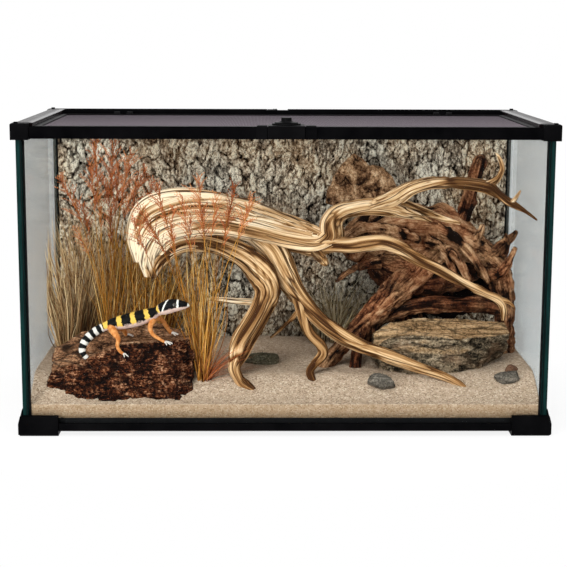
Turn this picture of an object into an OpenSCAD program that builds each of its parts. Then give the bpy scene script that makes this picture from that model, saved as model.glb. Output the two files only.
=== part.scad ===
// Glass terrarium with a hinged screen lid, a cam lock and a furnished desert interior.
// The origin is on the floor under the middle of the tank. +X is right, +Y is rear, +Z is up.

/* [Tank] */
// Length over the corner mouldings
tank_w = 600; // [560:5:660]
// Depth over the corner mouldings
tank_d = 300; // [285:5:330]
// Height to the top of the corner blocks
tank_h = 350; // [335:5:400]
// Thickness of every glass pane
glass_t = 5; // [4:0.5:6]
// Reach of the corner mouldings beyond the glass
corner_out = 5; // [4.6:0.1:6]
// Step of the rails back from the corner mouldings
rail_step = 1.5; // [1:0.1:1.8]

/* [Base] */
// Width of a corner foot along both sides
foot_w = 45; // [35:1:60]
// Height of a foot's front wall
foot_h = 23.5; // [20:0.5:28]
// Height at which a foot's side wall starts to lean in
foot_lean_z = 14; // [10:0.5:18]
// Height at which the side wall meets the glass
foot_peak_z = 30; // [26:0.5:36]
// Height of the rails above the floor
rail_lift = 5.6; // [4:0.2:7]
// Height of a base rail's outer wall
base_rail_h = 8.4; // [7.4:0.2:10]
// Height of the seat of the floor pane above the seat of the upright panes
floor_seat_h = 5; // [4:0.5:7]
// Depth of the hollow under a foot
foot_hollow = 4; // [2:0.5:5]

/* [Top frame] */
// Width of a side rail
side_rail_w = 21.5; // [18:0.5:26]
// Depth of the rear strip
rear_strip_d = 43.5; // [40:0.5:50]
// Depth of the front rail
front_rail_d = 11.5; // [11:0.5:14]
// Height of the side rails and the rear strip
rail_h = 17; // [15:0.5:22]
// Height of the front rail
front_rail_h = 13; // [12:0.5:16]
// Drop of the front rail's top below the corner blocks
front_drop = 3.7; // [3.4:0.1:4.4]
// Thickness of the top webs
web_t = 3; // [2.6:0.1:4]
// Bevel along the side rails
rail_bevel = 2.4; // [1:0.2:2.6]
// Width of a corner block
block_w = 20; // [18:0.5:21]
// Height of a corner block
block_h = 18; // [17.5:0.5:22]
// Bevel on a corner block's outer edges
block_bevel = 1.2; // [0.6:0.2:2]
// Width of the nub on a corner block
nub_w = 4; // [3:0.5:6]
// Height of the nub
nub_h = 1.5; // [0.8:0.1:2.5]

/* [Lid] */
// Thickness of the lid frame
lid_t = 6; // [5:0.2:7]
// Width of the lid frame's side bars
side_bar = 7; // [6:0.5:10]
// Width of the lid frame's front bar
front_bar = 14; // [13:0.5:18]
// Width of the lid frame's rear bar
rear_bar = 12; // [11:0.5:16]
// Gap around the lid
lid_gap = 0.5; // [0.4:0.1:0.8]
// Reach of the ledge under the lid's sides
ledge_w = 4; // [3:0.5:5]
// Width of the seat of the screen
screen_seat = 3; // [2.4:0.2:3.4]
// Thickness of the flat screen
screen_t = 0.8; // [0.6:0.1:1.2]
// Width of a screen wire
wire_w = 1.2; // [0.8:0.1:1.6]
// Gaps of the screen along X
screen_nx = 20; // [8:1:24]
// Gaps of the screen along Y
screen_ny = 10; // [4:1:12]
// Height of the retainer strips
retainer_h = 2.2; // [1.6:0.1:2.8]
// Distance of each hinge from the middle of the lid
hinge_x = 200; // [120:5:230]
// Width of a hinge lug on the rear strip
lug_w = 8; // [6:0.5:12]
// Width of a lid knuckle
knuckle_w = 7; // [5:0.5:10]
// Outer radius of lug and knuckle
knuckle_r = 3; // [2.8:0.1:3.3]
// Radius of a hinge pin
pin_r = 1.25; // [1:0.05:1.6]

/* [Latch] */
// Width of the latch plate
tab_w = 40; // [36:1:48]
// Thickness of the latch plate
tab_t = 1.4; // [1.2:0.1:1.8]
// Height of the latch plate's front lip
lip_h = 14; // [12:0.5:14.5]
// Gap between the latch plate and each guide block
guide_gap = 1; // [0.6:0.1:2]
// Width of a guide block
guide_w = 12; // [8:1:18]
// Height of the guide blocks over the front rail
guide_rise = 1.9; // [1.4:0.1:2.4]
// Radius of the lock's round seat
seat_r = 16; // [15:0.5:18]
// Radius of the knob's skirt
skirt_r = 12.9; // [11:0.1:14.5]
// Radius of the knob's cap
cap_r = 5.8; // [5:0.1:7]
// Height of the knob's cap
cap_h = 3; // [2:0.5:6]
// Radius of the lock's shaft
shaft_r = 2.6; // [2.2:0.1:2.8]
// Distance of the lock's axis behind the front rail
lock_set = 7; // [6.8:0.1:7.4]
// Width of the cam's arm
cam_arm_w = 5; // [3.5:0.5:5.5]
// Thickness of the cam
cam_t = 2; // [1.4:0.2:2.4]

/* [Cable gate] */
// Width of the cable slot
cable_w = 12; // [8:0.5:16]
// Depth of the cable slot in the rear strip
cable_d = 14; // [10:0.5:16]
// Height of the gate's finger ridge
grip_h = 1.6; // [1:0.2:2.4]

/* [Furnishing] */
// Depth of the sand at the front glass
sand_front = 16.5; // [12:0.5:20]
// Depth of the sand at the rear
sand_rear = 38; // [34:1:42]
// Thickness of the bark panel's back
bark_back_t = 4; // [3:0.5:5]
// Height of the bark's relief
bark_relief = 7; // [4:0.5:7.5]
// Width of a grass blade at its foot
blade_w = 1.5; // [1:0.1:1.7]
// Number of blades in a tuft
blades = 38; // [20:2:60]

/* [Hidden] */
$fn = 48;

// Clearances
glass_gap = 0.3;
bond_t = 0.5;
seat_gap = 0.3;
run_gap = 0.05;
slide_gap = 0.3;
sand_gap = 0.3;
lap = 0.5;
cut = 1;

// Colours
plastic = [0.06, 0.06, 0.065];
glass_tint = [0.75, 0.88, 0.86, 0.3];
silicone = [0.03, 0.03, 0.035];
steel = [0.7, 0.7, 0.72];

// Half sizes and levels of the tank
half_w = tank_w / 2;
half_d = tank_d / 2;
glass_x = half_w - corner_out;
glass_y = half_d - corner_out;
inner_x = glass_x - glass_t;
inner_y = glass_y - glass_t;
rail_x = half_w - rail_step;
rail_y = half_d - rail_step;
rail_wall = corner_out - rail_step - glass_gap;
leg_t = 2;

// Levels of the base
base_web_t = 2.4;
pane_z = rail_lift + base_web_t;
floor_z = pane_z + floor_seat_h;
floor_top = floor_z + glass_t;
bead_h = 0.8;
corner_bead_w = 4;
base_leg_t = 2.5;

// Levels of the top frame
front_web_t = 2;
front_top_z = tank_h - front_drop;
front_bottom_z = front_top_z - front_rail_h;
side_bottom_z = tank_h - rail_h;
block_bottom_z = tank_h - block_h;
glass_top_z = front_top_z - front_web_t - 1.3;
side_in = rail_x - side_rail_w;
rear_in = rail_y - rear_strip_d;
front_in = rail_y - front_rail_d;

// Levels and edges of the lid
lid_top = front_top_z - seat_gap;
lid_bottom = lid_top - lid_t;
ledge_t = 2;
ledge_top = lid_bottom - seat_gap;
front_ledge_w = 3.4;
lid_x = side_in - lid_gap;
lid_front = -front_in + lid_gap;
lid_rear = rear_in - lid_gap;
open_x = lid_x - side_bar;
open_front = lid_front + front_bar;
open_rear = lid_rear - rear_bar;
screen_lip = 1;
screen_top = lid_top - screen_lip;
hinge_y = lid_rear - knuckle_r;
hinge_z = lid_top;
hinge_gap = 0.5;
pin_fit = 0.02;
slot_front = 1.5;

// Lock
lock_y = -front_in + lock_set;
plate_z = front_top_z + seat_gap;
cam_hub_r = shaft_r + 0.2;
cam_top = lid_bottom - 2.8;
cam_reach = lock_set - 0.6;
knob_lift = 0.3;
skirt_h = 3.1;
seat_h = 1.6;
screw_r = 2.2;

// Cable gate
gate_t = 1.7;
gate_floor = web_t - gate_t - slide_gap;
gate_w = cable_w + 1;
gate_travel = gate_w;
gate_x = -cable_w / 2 - gate_w - cut;
gate_d = cable_d + 8;
stem_w = 4;
stem_d = 2;

// Furnishing: drawn for an interior of these half sizes and this height, and fitted to the tank
drawn_x = 290;
drawn_y = 140;
drawn_h = 277.3;
drawn_sand = 56;
sand_top = floor_top + sand_rear;
fit_x = inner_x / drawn_x;
fit_y = inner_y / drawn_y;
fit_z = (front_bottom_z - sand_top) / drawn_h;
fit_r = min(fit_x, fit_y, fit_z);
sand_nx = 32;
sand_ny = 15;
sand_slope = 65;
bark_nx = 34;
bark_nz = 20;
bark_face_y = inner_y - slide_gap - bark_back_t - bark_relief;
wood = [0.82, 0.66, 0.43];
dark_wood = [0.27, 0.15, 0.09];

// Runs an outline in Y and Z along X
module along_x(from, to) {
    translate([from, 0, 0])
        rotate([90, 0, 90])
            linear_extrude(to - from) children();
}

// Runs an outline in X and Z along Y
module along_y(from, to) {
    translate([0, to, 0])
        rotate([90, 0, 0])
            linear_extrude(to - from) children();
}

// A box between two corners
module block(low, high) {
    translate(low)
        cube(high - low);
}

// Puts a shape drawn in the +X +Y quarter into any corner
module in_corner(side, end) {
    mirror([side < 0 ? 1 : 0, 0, 0])
        mirror([0, end < 0 ? 1 : 0, 0])
            children();
}

// Glass

module end_pane(y_low) {
    color(glass_tint)
        block([-inner_x + bond_t, y_low, pane_z], [inner_x - bond_t, y_low + glass_t, glass_top_z]);
}

module side_pane(x_low) {
    color(glass_tint)
        block([x_low, -glass_y, pane_z], [x_low + glass_t, glass_y, glass_top_z]);
}

module front_glass() { end_pane(-glass_y); }
module rear_glass() { end_pane(inner_y); }
module left_glass() { side_pane(-glass_x); }
module right_glass() { side_pane(inner_x); }

module floor_glass() {
    color(glass_tint)
        block([-inner_x + bond_t, -inner_y + bond_t, floor_z], [inner_x - bond_t, inner_y - bond_t, floor_top]);
}

// Silicone

module corner_silicone() {
    color(silicone)
        for (side = [-1, 1], end = [-1, 1])
            in_corner(side, end) {
                block([inner_x - bond_t, inner_y, pane_z], [inner_x, glass_y, glass_top_z]);
                corner_bead(corner_bead_w, floor_top + bead_h, block_bottom_z - glass_gap);
            }
}

// Upright bead in a corner between two panes
module corner_bead(width, low, high) {
    translate([0, 0, low])
        linear_extrude(high - low)
            polygon([[inner_x, inner_y], [inner_x - width, inner_y], [inner_x, inner_y - width]]);
}

// What lies in the tank, cut clear of the four corner beads
module clear_of_beads() {
    difference() {
        children();
        for (side = [-1, 1], end = [-1, 1])
            in_corner(side, end)
                corner_bead(corner_bead_w + 2 * seat_gap, 0, tank_h);
    }
}

module floor_silicone() {
    color(silicone)
        difference() {
            block([-inner_x, -inner_y, floor_z], [inner_x, inner_y, floor_top + bead_h]);
            block([-inner_x + bond_t, -inner_y + bond_t, floor_z - cut],
                  [inner_x - bond_t, inner_y - bond_t, floor_top + bead_h + cut]);
        }
}

// Base

module base_rail_profile(face, glass) {
    union() {
        translate([glass + glass_gap, rail_lift])
            square([face - glass - glass_gap, base_rail_h]);
        translate([glass - glass_t - glass_gap - base_leg_t, rail_lift])
            square([face - glass + glass_t + glass_gap + base_leg_t, base_web_t]);
        translate([glass - glass_t - glass_gap - base_leg_t, rail_lift])
            square([base_leg_t, base_web_t + floor_seat_h]);
    }
}

module base_rail_end(end) {
    color(plastic)
        mirror([0, end < 0 ? 1 : 0, 0])
            along_x(-half_w + foot_w, half_w - foot_w)
                base_rail_profile(rail_y, glass_y);
}

module base_rail_side(side) {
    color(plastic)
        mirror([side < 0 ? 1 : 0, 0, 0])
            along_y(-half_d + foot_w, half_d - foot_w)
                base_rail_profile(rail_x, glass_x);
}

module base_rail_front() { base_rail_end(-1); }
module base_rail_rear() { base_rail_end(1); }
module base_rail_left() { base_rail_side(-1); }
module base_rail_right() { base_rail_side(1); }

// A foot wraps the corner of the glass: a hollow pad, a front wall and a side wall that leans in to the glass
module foot_form() {
    wall = 3;
    rib = 2.4;
    round_r = 2;
    x0 = half_w - foot_w;
    y0 = half_d - foot_w;
    x_mid = half_w - foot_w / 2;
    y_mid = half_d - foot_w / 2;
    color(plastic)
        difference() {
            union() {
                block([x0, y0, 0], [glass_x + glass_gap + lap, glass_y + glass_gap + lap, pane_z]);
                along_x(x0, glass_x + glass_gap)
                    foot_wall(half_d, glass_y, foot_h, foot_h - cut, round_r);
                along_y(y0, glass_y + glass_gap)
                    foot_wall(half_w, glass_x, foot_peak_z, foot_lean_z, round_r);
                intersection() {
                    along_x(x0, half_w)
                        foot_wall(half_d, glass_y, foot_h, foot_h - cut, round_r);
                    along_y(y0, half_d)
                        foot_wall(half_w, glass_x, foot_peak_z, foot_lean_z, round_r);
                }
                block([x0, inner_y - glass_gap - base_leg_t, pane_z - lap],
                      [inner_x - glass_gap, inner_y - glass_gap, floor_z]);
                block([inner_x - glass_gap - base_leg_t, y0, pane_z - lap],
                      [inner_x - glass_gap, inner_y - glass_gap, floor_z]);
            }
            difference() {
                block([x0 + wall, y0 + wall, -cut], [glass_x - wall, glass_y - wall, foot_hollow]);
                block([x_mid - rib / 2, y0, -cut], [x_mid + rib / 2, half_d, foot_hollow + cut]);
                block([x0, y_mid - rib / 2, -cut], [half_w, y_mid + rib / 2, foot_hollow + cut]);
            }
        }
}

// Section of a foot's wall, from its outer face in to the glass
module foot_wall(face, glass, top, lean, round_r) {
    difference() {
        polygon([
            [glass + glass_gap, 0], [face - round_r, 0], [face, round_r],
            [face, lean], [glass + glass_gap + 0.6, top], [glass + glass_gap, top]
        ]);
    }
}

module foot_front_left() { in_corner(-1, -1) foot_form(); }
module foot_front_right() { in_corner(1, -1) foot_form(); }
module foot_rear_left() { in_corner(-1, 1) foot_form(); }
module foot_rear_right() { in_corner(1, 1) foot_form(); }

// Top frame

module top_rail_front() {
    color(plastic)
        union() {
            along_x(-half_w + block_w, half_w - block_w)
                mirror([1, 0])
                    union() {
                        translate([glass_y + glass_gap, front_bottom_z])
                            square([rail_wall, front_rail_h]);
                        translate([front_in, front_top_z - front_web_t])
                            square([front_rail_d, front_web_t]);
                        translate([front_in, front_bottom_z])
                            square([inner_y - glass_gap - front_in, front_rail_h]);
                    }
            along_x(-side_in, side_in)
                mirror([1, 0])
                    translate([front_in - front_ledge_w, ledge_top - ledge_t])
                        square([front_ledge_w + lap, ledge_t]);
        }
}

module side_rail_form() {
    color(plastic)
        union() {
            along_y(-half_d + block_w, half_d - block_w)
                difference() {
                    union() {
                        translate([glass_x + glass_gap, side_bottom_z])
                            square([rail_wall, rail_h]);
                        translate([side_in, tank_h - web_t])
                            square([side_rail_w, web_t]);
                        translate([inner_x - glass_gap - leg_t, side_bottom_z])
                            square([leg_t, rail_h]);
                        translate([side_in, ledge_top - ledge_t])
                            square([leg_t, tank_h - ledge_top + ledge_t]);
                    }
                    polygon([[rail_x + cut, tank_h - rail_bevel - cut], [rail_x + cut, tank_h + cut], [rail_x - rail_bevel - cut, tank_h + cut]]);
                }
            block([side_in, -front_in, ledge_top - ledge_t], [half_w - block_w, -half_d + block_w + lap, tank_h]);
            along_y(-half_d + block_w, rear_in)
                translate([side_in - ledge_w, ledge_top - ledge_t])
                    square([ledge_w + lap, ledge_t]);
        }
}

module top_rail_left() { mirror([1, 0, 0]) side_rail_form(); }
module top_rail_right() { side_rail_form(); }

module top_rail_rear() {
    rib_t = 1.6;
    step_y = half_d - block_w;
    slot_y = rail_y - cable_d;
    color(plastic)
        difference() {
            union() {
                block([-side_in, rear_in, tank_h - web_t], [side_in, step_y + lap, tank_h]);
                block([-side_in, rear_in, ledge_top - ledge_t], [side_in, rear_in + leg_t, tank_h]);
                along_x(-half_w + block_w, half_w - block_w)
                    union() {
                        translate([step_y, tank_h - web_t])
                            square([rail_y - step_y, web_t]);
                        translate([glass_y + glass_gap, side_bottom_z])
                            square([rail_wall, rail_h]);
                        translate([inner_y - glass_gap - leg_t, side_bottom_z])
                            square([leg_t, rail_h]);
                    }
                for (k = [-5:2:5])
                    block([k * side_in / 6 - rib_t / 2, rear_in, tank_h - web_t - 4],
                          [k * side_in / 6 + rib_t / 2, inner_y - glass_gap, tank_h]);
                for (side = [-1, 1]) {
                    block([side * hinge_x - lug_w / 2, hinge_y, hinge_z - knuckle_r],
                          [side * hinge_x + lug_w / 2, rear_in + leg_t, hinge_z + knuckle_r]);
                    hinge_barrel(side * hinge_x - lug_w / 2, lug_w, knuckle_r);
                }
            }
            for (side = [-1, 1])
                hinge_barrel(side * hinge_x - lug_w / 2 - cut, lug_w + 2 * cut, pin_r + pin_fit);
            // recess of the gate, then the slot of the cable and the slot of the gate's stem
            block([gate_x - slide_gap, rail_y - gate_d - slide_gap, tank_h - web_t + gate_floor],
                  [gate_x + gate_w + gate_travel + slide_gap, rail_y + cut, tank_h + cut]);
            block([-cable_w / 2, slot_y, glass_top_z + seat_gap], [cable_w / 2, rail_y + cut, tank_h + cut]);
            block([gate_x + gate_w / 2 - stem_w / 2 - slide_gap, rail_y - gate_d + stem_d, tank_h - web_t - cut],
                  [gate_x + gate_w / 2 + stem_w / 2 + gate_travel + slide_gap,
                   rail_y - gate_d + 2 * stem_d + 2 * slide_gap, tank_h]);
        }
}

// A round bar or bore along the hinge axis
module hinge_barrel(from, length, radius) {
    translate([from, hinge_y, hinge_z])
        rotate([0, 90, 0])
            cylinder(r = radius, h = length);
}

// Block over a corner of the glass, with its channel and a nub on top
module corner_form() {
    x0 = half_w - block_w;
    y0 = half_d - block_w;
    nub_in = 4;
    color(plastic)
        difference() {
            union() {
                intersection() {
                    along_y(y0, half_d)
                        bevelled_side(x0, half_w);
                    along_x(x0, half_w)
                        bevelled_side(y0, half_d);
                }
                block([half_w - nub_in - nub_w, half_d - nub_in - nub_w, tank_h - cut],
                      [half_w - nub_in, half_d - nub_in + 2, tank_h + nub_h]);
            }
            block([inner_x - glass_gap, y0 - cut, block_bottom_z - cut],
                  [glass_x + glass_gap, glass_y + glass_gap, glass_top_z + cut]);
            block([x0 - cut, inner_y - glass_gap, block_bottom_z - cut],
                  [glass_x + glass_gap, glass_y + glass_gap, glass_top_z + cut]);
        }
}

module bevelled_side(low, high) {
    polygon([
        [low, block_bottom_z], [high, block_bottom_z], [high, tank_h - block_bevel],
        [high - block_bevel, tank_h], [low, tank_h]
    ]);
}

module corner_front_left() { in_corner(-1, -1) corner_form(); }
module corner_front_right() { in_corner(1, -1) corner_form(); }
module corner_rear_left() { in_corner(-1, 1) corner_form(); }
module corner_rear_right() { in_corner(1, 1) corner_form(); }

// Two caps on the front rail that guide the latch plate
module latch_guides() {
    bevel = 1.4;
    low_x = tab_w / 2 + guide_gap;
    color(plastic)
        for (side = [0, 1])
            mirror([side, 0, 0])
                difference() {
                    along_x(low_x, low_x + guide_w)
                        mirror([1, 0])
                            polygon([
                                [rail_y, front_bottom_z], [half_d, front_bottom_z],
                                [half_d, front_top_z + guide_rise - bevel], [half_d - bevel, front_top_z + guide_rise],
                                [front_in, front_top_z + guide_rise], [front_in, front_top_z], [rail_y, front_top_z]
                            ]);
                    along_y(-half_d - cut, -front_in + cut)
                        polygon([
                            [low_x + guide_w + cut, front_top_z + guide_rise - bevel - cut],
                            [low_x + guide_w + cut, front_top_z + guide_rise + cut],
                            [low_x + guide_w - bevel - cut, front_top_z + guide_rise + cut]
                        ]);
                }
}

module hinge_pins() {
    length = lug_w + 2 * hinge_gap + 2 * knuckle_w;
    color(steel)
        for (side = [-1, 1])
            hinge_barrel(side * hinge_x - length / 2, length, pin_r);
}

// Lid

module lid_frame() {
    slot_y = hinge_y - knuckle_r - slot_front;
    color(plastic)
        difference() {
            union() {
                block([-lid_x, lid_front, lid_bottom], [lid_x, lid_rear, lid_top]);
                block([-tab_w / 2, lid_front, lid_top], [tab_w / 2, open_front, plate_z]);
                for (side = [-1, 1], end = [-1, 1])
                    hinge_barrel(side * hinge_x + end * (lug_w / 2 + hinge_gap + knuckle_w / 2) - knuckle_w / 2,
                                 knuckle_w, knuckle_r);
            }
            // lower rear edge cut back, so that it clears the ledges while the lid turns
            along_x(-lid_x - cut, lid_x + cut)
                polygon([[hinge_y - cut - seat_gap, lid_bottom - cut], [lid_rear + cut, lid_bottom - cut],
                         [lid_rear + cut, lid_bottom + lid_rear - hinge_y + cut + seat_gap]]);
            block([-open_x, open_front, lid_bottom - cut], [open_x, open_rear, lid_top + cut]);
            block([-open_x - screen_seat, open_front - screen_seat, lid_bottom - cut],
                  [open_x + screen_seat, open_rear + screen_seat, screen_top]);
            for (side = [-1, 1]) {
                block([side * hinge_x - lug_w / 2 - hinge_gap, slot_y, lid_bottom - cut],
                      [side * hinge_x + lug_w / 2 + hinge_gap, lid_rear + cut, lid_top + knuckle_r + cut]);
                hinge_barrel(side * hinge_x - lug_w / 2 - hinge_gap - knuckle_w - cut,
                             lug_w + 2 * hinge_gap + 2 * knuckle_w + 2 * cut, pin_r + run_gap);
            }
            translate([0, lock_y, lid_bottom - cut])
                cylinder(r = shaft_r + run_gap, h = lid_t + 2 * cut + seat_gap);
        }
}

// Flat net of crossing wires
module screen_mesh() {
    low_x = -open_x - screen_seat + seat_gap;
    low_y = open_front - screen_seat + seat_gap;
    size_x = 2 * (open_x + screen_seat - seat_gap);
    size_y = open_rear - open_front + 2 * (screen_seat - seat_gap);
    edge = screen_seat + wire_w;
    pitch_x = (size_x - 2 * edge + wire_w) / screen_nx;
    pitch_y = (size_y - 2 * edge + wire_w) / screen_ny;
    color([0.35, 0.34, 0.36])
        translate([low_x, low_y, screen_top - screen_t])
            linear_extrude(screen_t)
                difference() {
                    square([size_x, size_y]);
                    for (i = [0:screen_nx - 1], j = [0:screen_ny - 1])
                        translate([edge + i * pitch_x, edge + j * pitch_y])
                            square([pitch_x - wire_w, pitch_y - wire_w]);
                }
}

// Four strips that press the screen up against the frame's lip
module screen_retainer() {
    z0 = screen_top - screen_t - retainer_h;
    z1 = screen_top - screen_t;
    strip = screen_seat - seat_gap;
    end_gap = 0.2;
    x1 = open_x + strip;
    y0 = open_front - strip;
    y1 = open_rear + strip;
    color(plastic) {
        block([-x1, y0, z0], [x1, y0 + strip, z1]);
        block([-x1, y1 - strip, z0], [x1, y1, z1]);
        block([-x1, y0 + strip + end_gap, z0], [-x1 + strip, y1 - strip - end_gap, z1]);
        block([x1 - strip, y0 + strip + end_gap, z0], [x1, y1 - strip - end_gap, z1]);
    }
}

// Plate that lies on the lid's front bar, reaches over the front rail and hangs down in front of it
module latch_plate() {
    lip_t = rail_step - seat_gap;
    back_y = open_front + 4.5;
    color(plastic)
        difference() {
            union() {
                along_x(-tab_w / 2, tab_w / 2)
                    union() {
                        translate([-half_d + lip_t / 2, plate_z])
                            square([back_y + half_d - lip_t / 2, tab_t]);
                        translate([-half_d, plate_z + tab_t - lip_h])
                            square([lip_t, lip_h - lip_t / 2]);
                        translate([-half_d, plate_z + tab_t - lip_h])
                            polygon([
                                [0, lip_h - lip_t], [lip_t, lip_h - lip_t], [lip_t, lip_h], [lip_t / 2, lip_h], [0, lip_h - lip_t / 2]
                            ]);
                    }
            }
            translate([0, lock_y, plate_z - cut])
                cylinder(r = shaft_r + run_gap, h = tab_t + 2 * cut);
        }
}

module lock_seat() {
    seat_bevel = 0.5;
    color(plastic)
        translate([0, lock_y, plate_z + tab_t])
            rotate_extrude($fn = 72)
                polygon([
                    [shaft_r + run_gap, 0], [seat_r, 0], [seat_r, seat_h - seat_bevel],
                    [seat_r - seat_bevel, seat_h], [shaft_r + run_gap, seat_h]
                ]);
}

// Knob with a hollow-cone skirt, a gripped cap and a shaft through the lid
module lock_knob() {
    z0 = plate_z + tab_t + seat_h + knob_lift;
    grooves = 12;
    groove_r = 0.7;
    rim = 0.8;
    color(plastic)
        translate([0, lock_y, 0])
            difference() {
                union() {
                    translate([0, 0, z0])
                        rotate_extrude($fn = 72)
                            polygon([
                                [0, 0], [skirt_r, 0], [skirt_r, rim],
                                for (k = [1:4])
                                    let (t = k / 4)
                                        [skirt_r - (skirt_r - cap_r) * sin(90 * t), rim + (skirt_h - rim) * (1 - cos(90 * t))],
                                [cap_r, skirt_h + cap_h - 0.6], [cap_r - 0.6, skirt_h + cap_h], [0, skirt_h + cap_h]
                            ]);
                    translate([0, 0, cam_top])
                        cylinder(r = shaft_r, h = z0 - cam_top + rim);
                }
                for (k = [0:grooves - 1])
                    rotate([0, 0, 360 * k / grooves])
                        translate([cap_r + groove_r / 2, 0, z0 + skirt_h + 0.4])
                            cylinder(r = groove_r, h = cap_h + cut, $fn = 16);
                translate([0, 0, cam_top - cut])
                    cylinder(r = 1, h = 5 + cut, $fn = 24);
            }
}

module lock_cam() {
    color(steel)
        translate([0, lock_y, cam_top - cam_t])
            difference() {
                union() {
                    cylinder(r = cam_hub_r, h = cam_t);
                    intersection() {
                        block([0, -cam_arm_w / 2, 0], [cam_reach, cam_arm_w / 2, cam_t]);
                        cylinder(r = cam_reach, h = cam_t);
                    }
                }
                translate([0, 0, -cut])
                    cylinder(r = 1, h = cam_t + 2 * cut, $fn = 24);
            }
}

module cam_screw() {
    head_h = 1.3;
    color(steel)
        translate([0, lock_y, cam_top - cam_t - head_h])
            difference() {
                union() {
                    cylinder(r = screw_r, h = head_h);
                    cylinder(r = 0.97, h = head_h + cam_t + 4);
                }
                for (turn = [0, 90])
                    rotate([0, 0, turn])
                        block([-1.4, -0.25, -cut], [1.4, 0.25, 0.6]);
            }
}

// Sliding gate with a finger ridge and a T-shaped stem that holds it down
module cable_gate() {
    y0 = rail_y - gate_d;
    z0 = tank_h - web_t + gate_floor + slide_gap - 0.1;
    stem_x = gate_x + gate_w / 2;
    stem_y = y0 + stem_d + slide_gap;
    foot_z = tank_h - web_t - 2.2;
    color(plastic)
        union() {
            block([gate_x, y0, z0], [gate_x + gate_w, rail_y, z0 + gate_t]);
            for (k = [0:2])
                block([gate_x + gate_w - 5 + 1.6 * k, rail_y - 10, z0],
                      [gate_x + gate_w - 4.2 + 1.6 * k, rail_y - 1, z0 + gate_t + grip_h - 0.8]);
            block([stem_x - stem_w / 2, stem_y, foot_z], [stem_x + stem_w / 2, stem_y + stem_d, z0 + cut]);
            block([stem_x - stem_w / 2, stem_y - 2, foot_z], [stem_x + stem_w / 2, stem_y + stem_d + 2, foot_z + 1.6]);
        }
}

// Sand

function smooth01(t) = t <= 0 ? 0 : t >= 1 ? 1 : t * t * (3 - 2 * t);

function hump(x, y, cx, cy, rx, ry) = exp(-pow((x - cx) / rx, 2) - pow((y - cy) / ry, 2));

// Height of the sand over a point of the floor
function sand_at(x, y) =
    let (dx = x / fit_x, dy = y / fit_y)
    floor_top + sand_front + (sand_rear - sand_front) * smooth01((dy + drawn_y) / sand_slope)
    + fit_r * (4 * pow(dx / drawn_x, 4) * smooth01((dy + drawn_y) / 40)
    + 4 * hump(dx, dy, 150, 60, 90, 60)
    + 2.5 * hump(dx, dy, -60, 70, 60, 50)
    - 2 * hump(dx, dy, 30, -40, 60, 30)
    + 0.5 * sin(dx * 3.1 + dy * 1.3) * smooth01((dy + drawn_y) / 20));

// Closed solid between a flat bottom and a grid of heights
module ground(x_half, y_low, y_high, nx, ny, lift, bottom) {
    xs = [for (i = [0:nx]) -x_half + 2 * x_half * i / nx];
    ys = [for (j = [0:ny]) y_low + (y_high - y_low) * (0.5 * j / ny + 0.5 * pow(j / ny, 2))];
    w = nx + 1;
    n = w * (ny + 1);
    top = [for (j = [0:ny], i = [0:nx]) [xs[i], ys[j], sand_at(xs[i], ys[j]) + lift]];
    low = [for (j = [0:ny], i = [0:nx]) [xs[i], ys[j], bottom]];
    rim = [
        for (i = [0:nx - 1]) i,
        for (j = [0:ny - 1]) j * w + nx,
        for (i = [nx:-1:1]) ny * w + i,
        for (j = [ny:-1:1]) j * w
    ];
    m = len(rim);
    polyhedron(
        points = concat(top, [for (r = rim) low[r]], [[0, (y_low + y_high) / 2, bottom]]),
        faces = concat(
            [for (j = [0:ny - 1], i = [0:nx - 1]) [j * w + i, (j + 1) * w + i, j * w + i + 1]],
            [for (j = [0:ny - 1], i = [0:nx - 1]) [j * w + i + 1, (j + 1) * w + i, (j + 1) * w + i + 1]],
            [for (k = [0:m - 1]) [rim[k], rim[(k + 1) % m], n + k]],
            [for (k = [0:m - 1]) [rim[(k + 1) % m], n + (k + 1) % m, n + k]],
            [for (k = [0:m - 1]) [n + k, n + (k + 1) % m, n + m]]
        )
    );
}

module sand_form(lift, bottom = floor_top) {
    edge = bond_t + seat_gap;
    ground(inner_x - edge, -inner_y + edge, bark_face_y - seat_gap, sand_nx, sand_ny, lift, bottom);
}

module sand_bed() {
    color([0.78, 0.68, 0.54])
        clear_of_beads() sand_form(0);
}

// Everything in it that lies above the sand
module on_sand() {
    difference() {
        children();
        sand_form(sand_gap, 0);
    }
}

// Bark panel behind the furnishing: upright plates parted by deep cracks

function plate_wave(u, v) =
    let (crack = abs(sin(360 * (u * 5.5 + 0.35 * sin(360 * v * 1.7) + 0.12 * sin(360 * v * 5 + 70)))),
         split = abs(sin(360 * (v * 4 + 0.4 * sin(360 * u * 3.3) + 0.2 * sin(360 * u * 9)))),
         lump = 0.5 + 0.5 * sin(360 * (u * 11 + v * 2.3)) * cos(360 * (v * 7 - u * 4)))
    min(1, 1.5 * crack) * (0.55 + 0.45 * min(1, 1.6 * split)) * (0.75 + 0.25 * lump);

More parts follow.
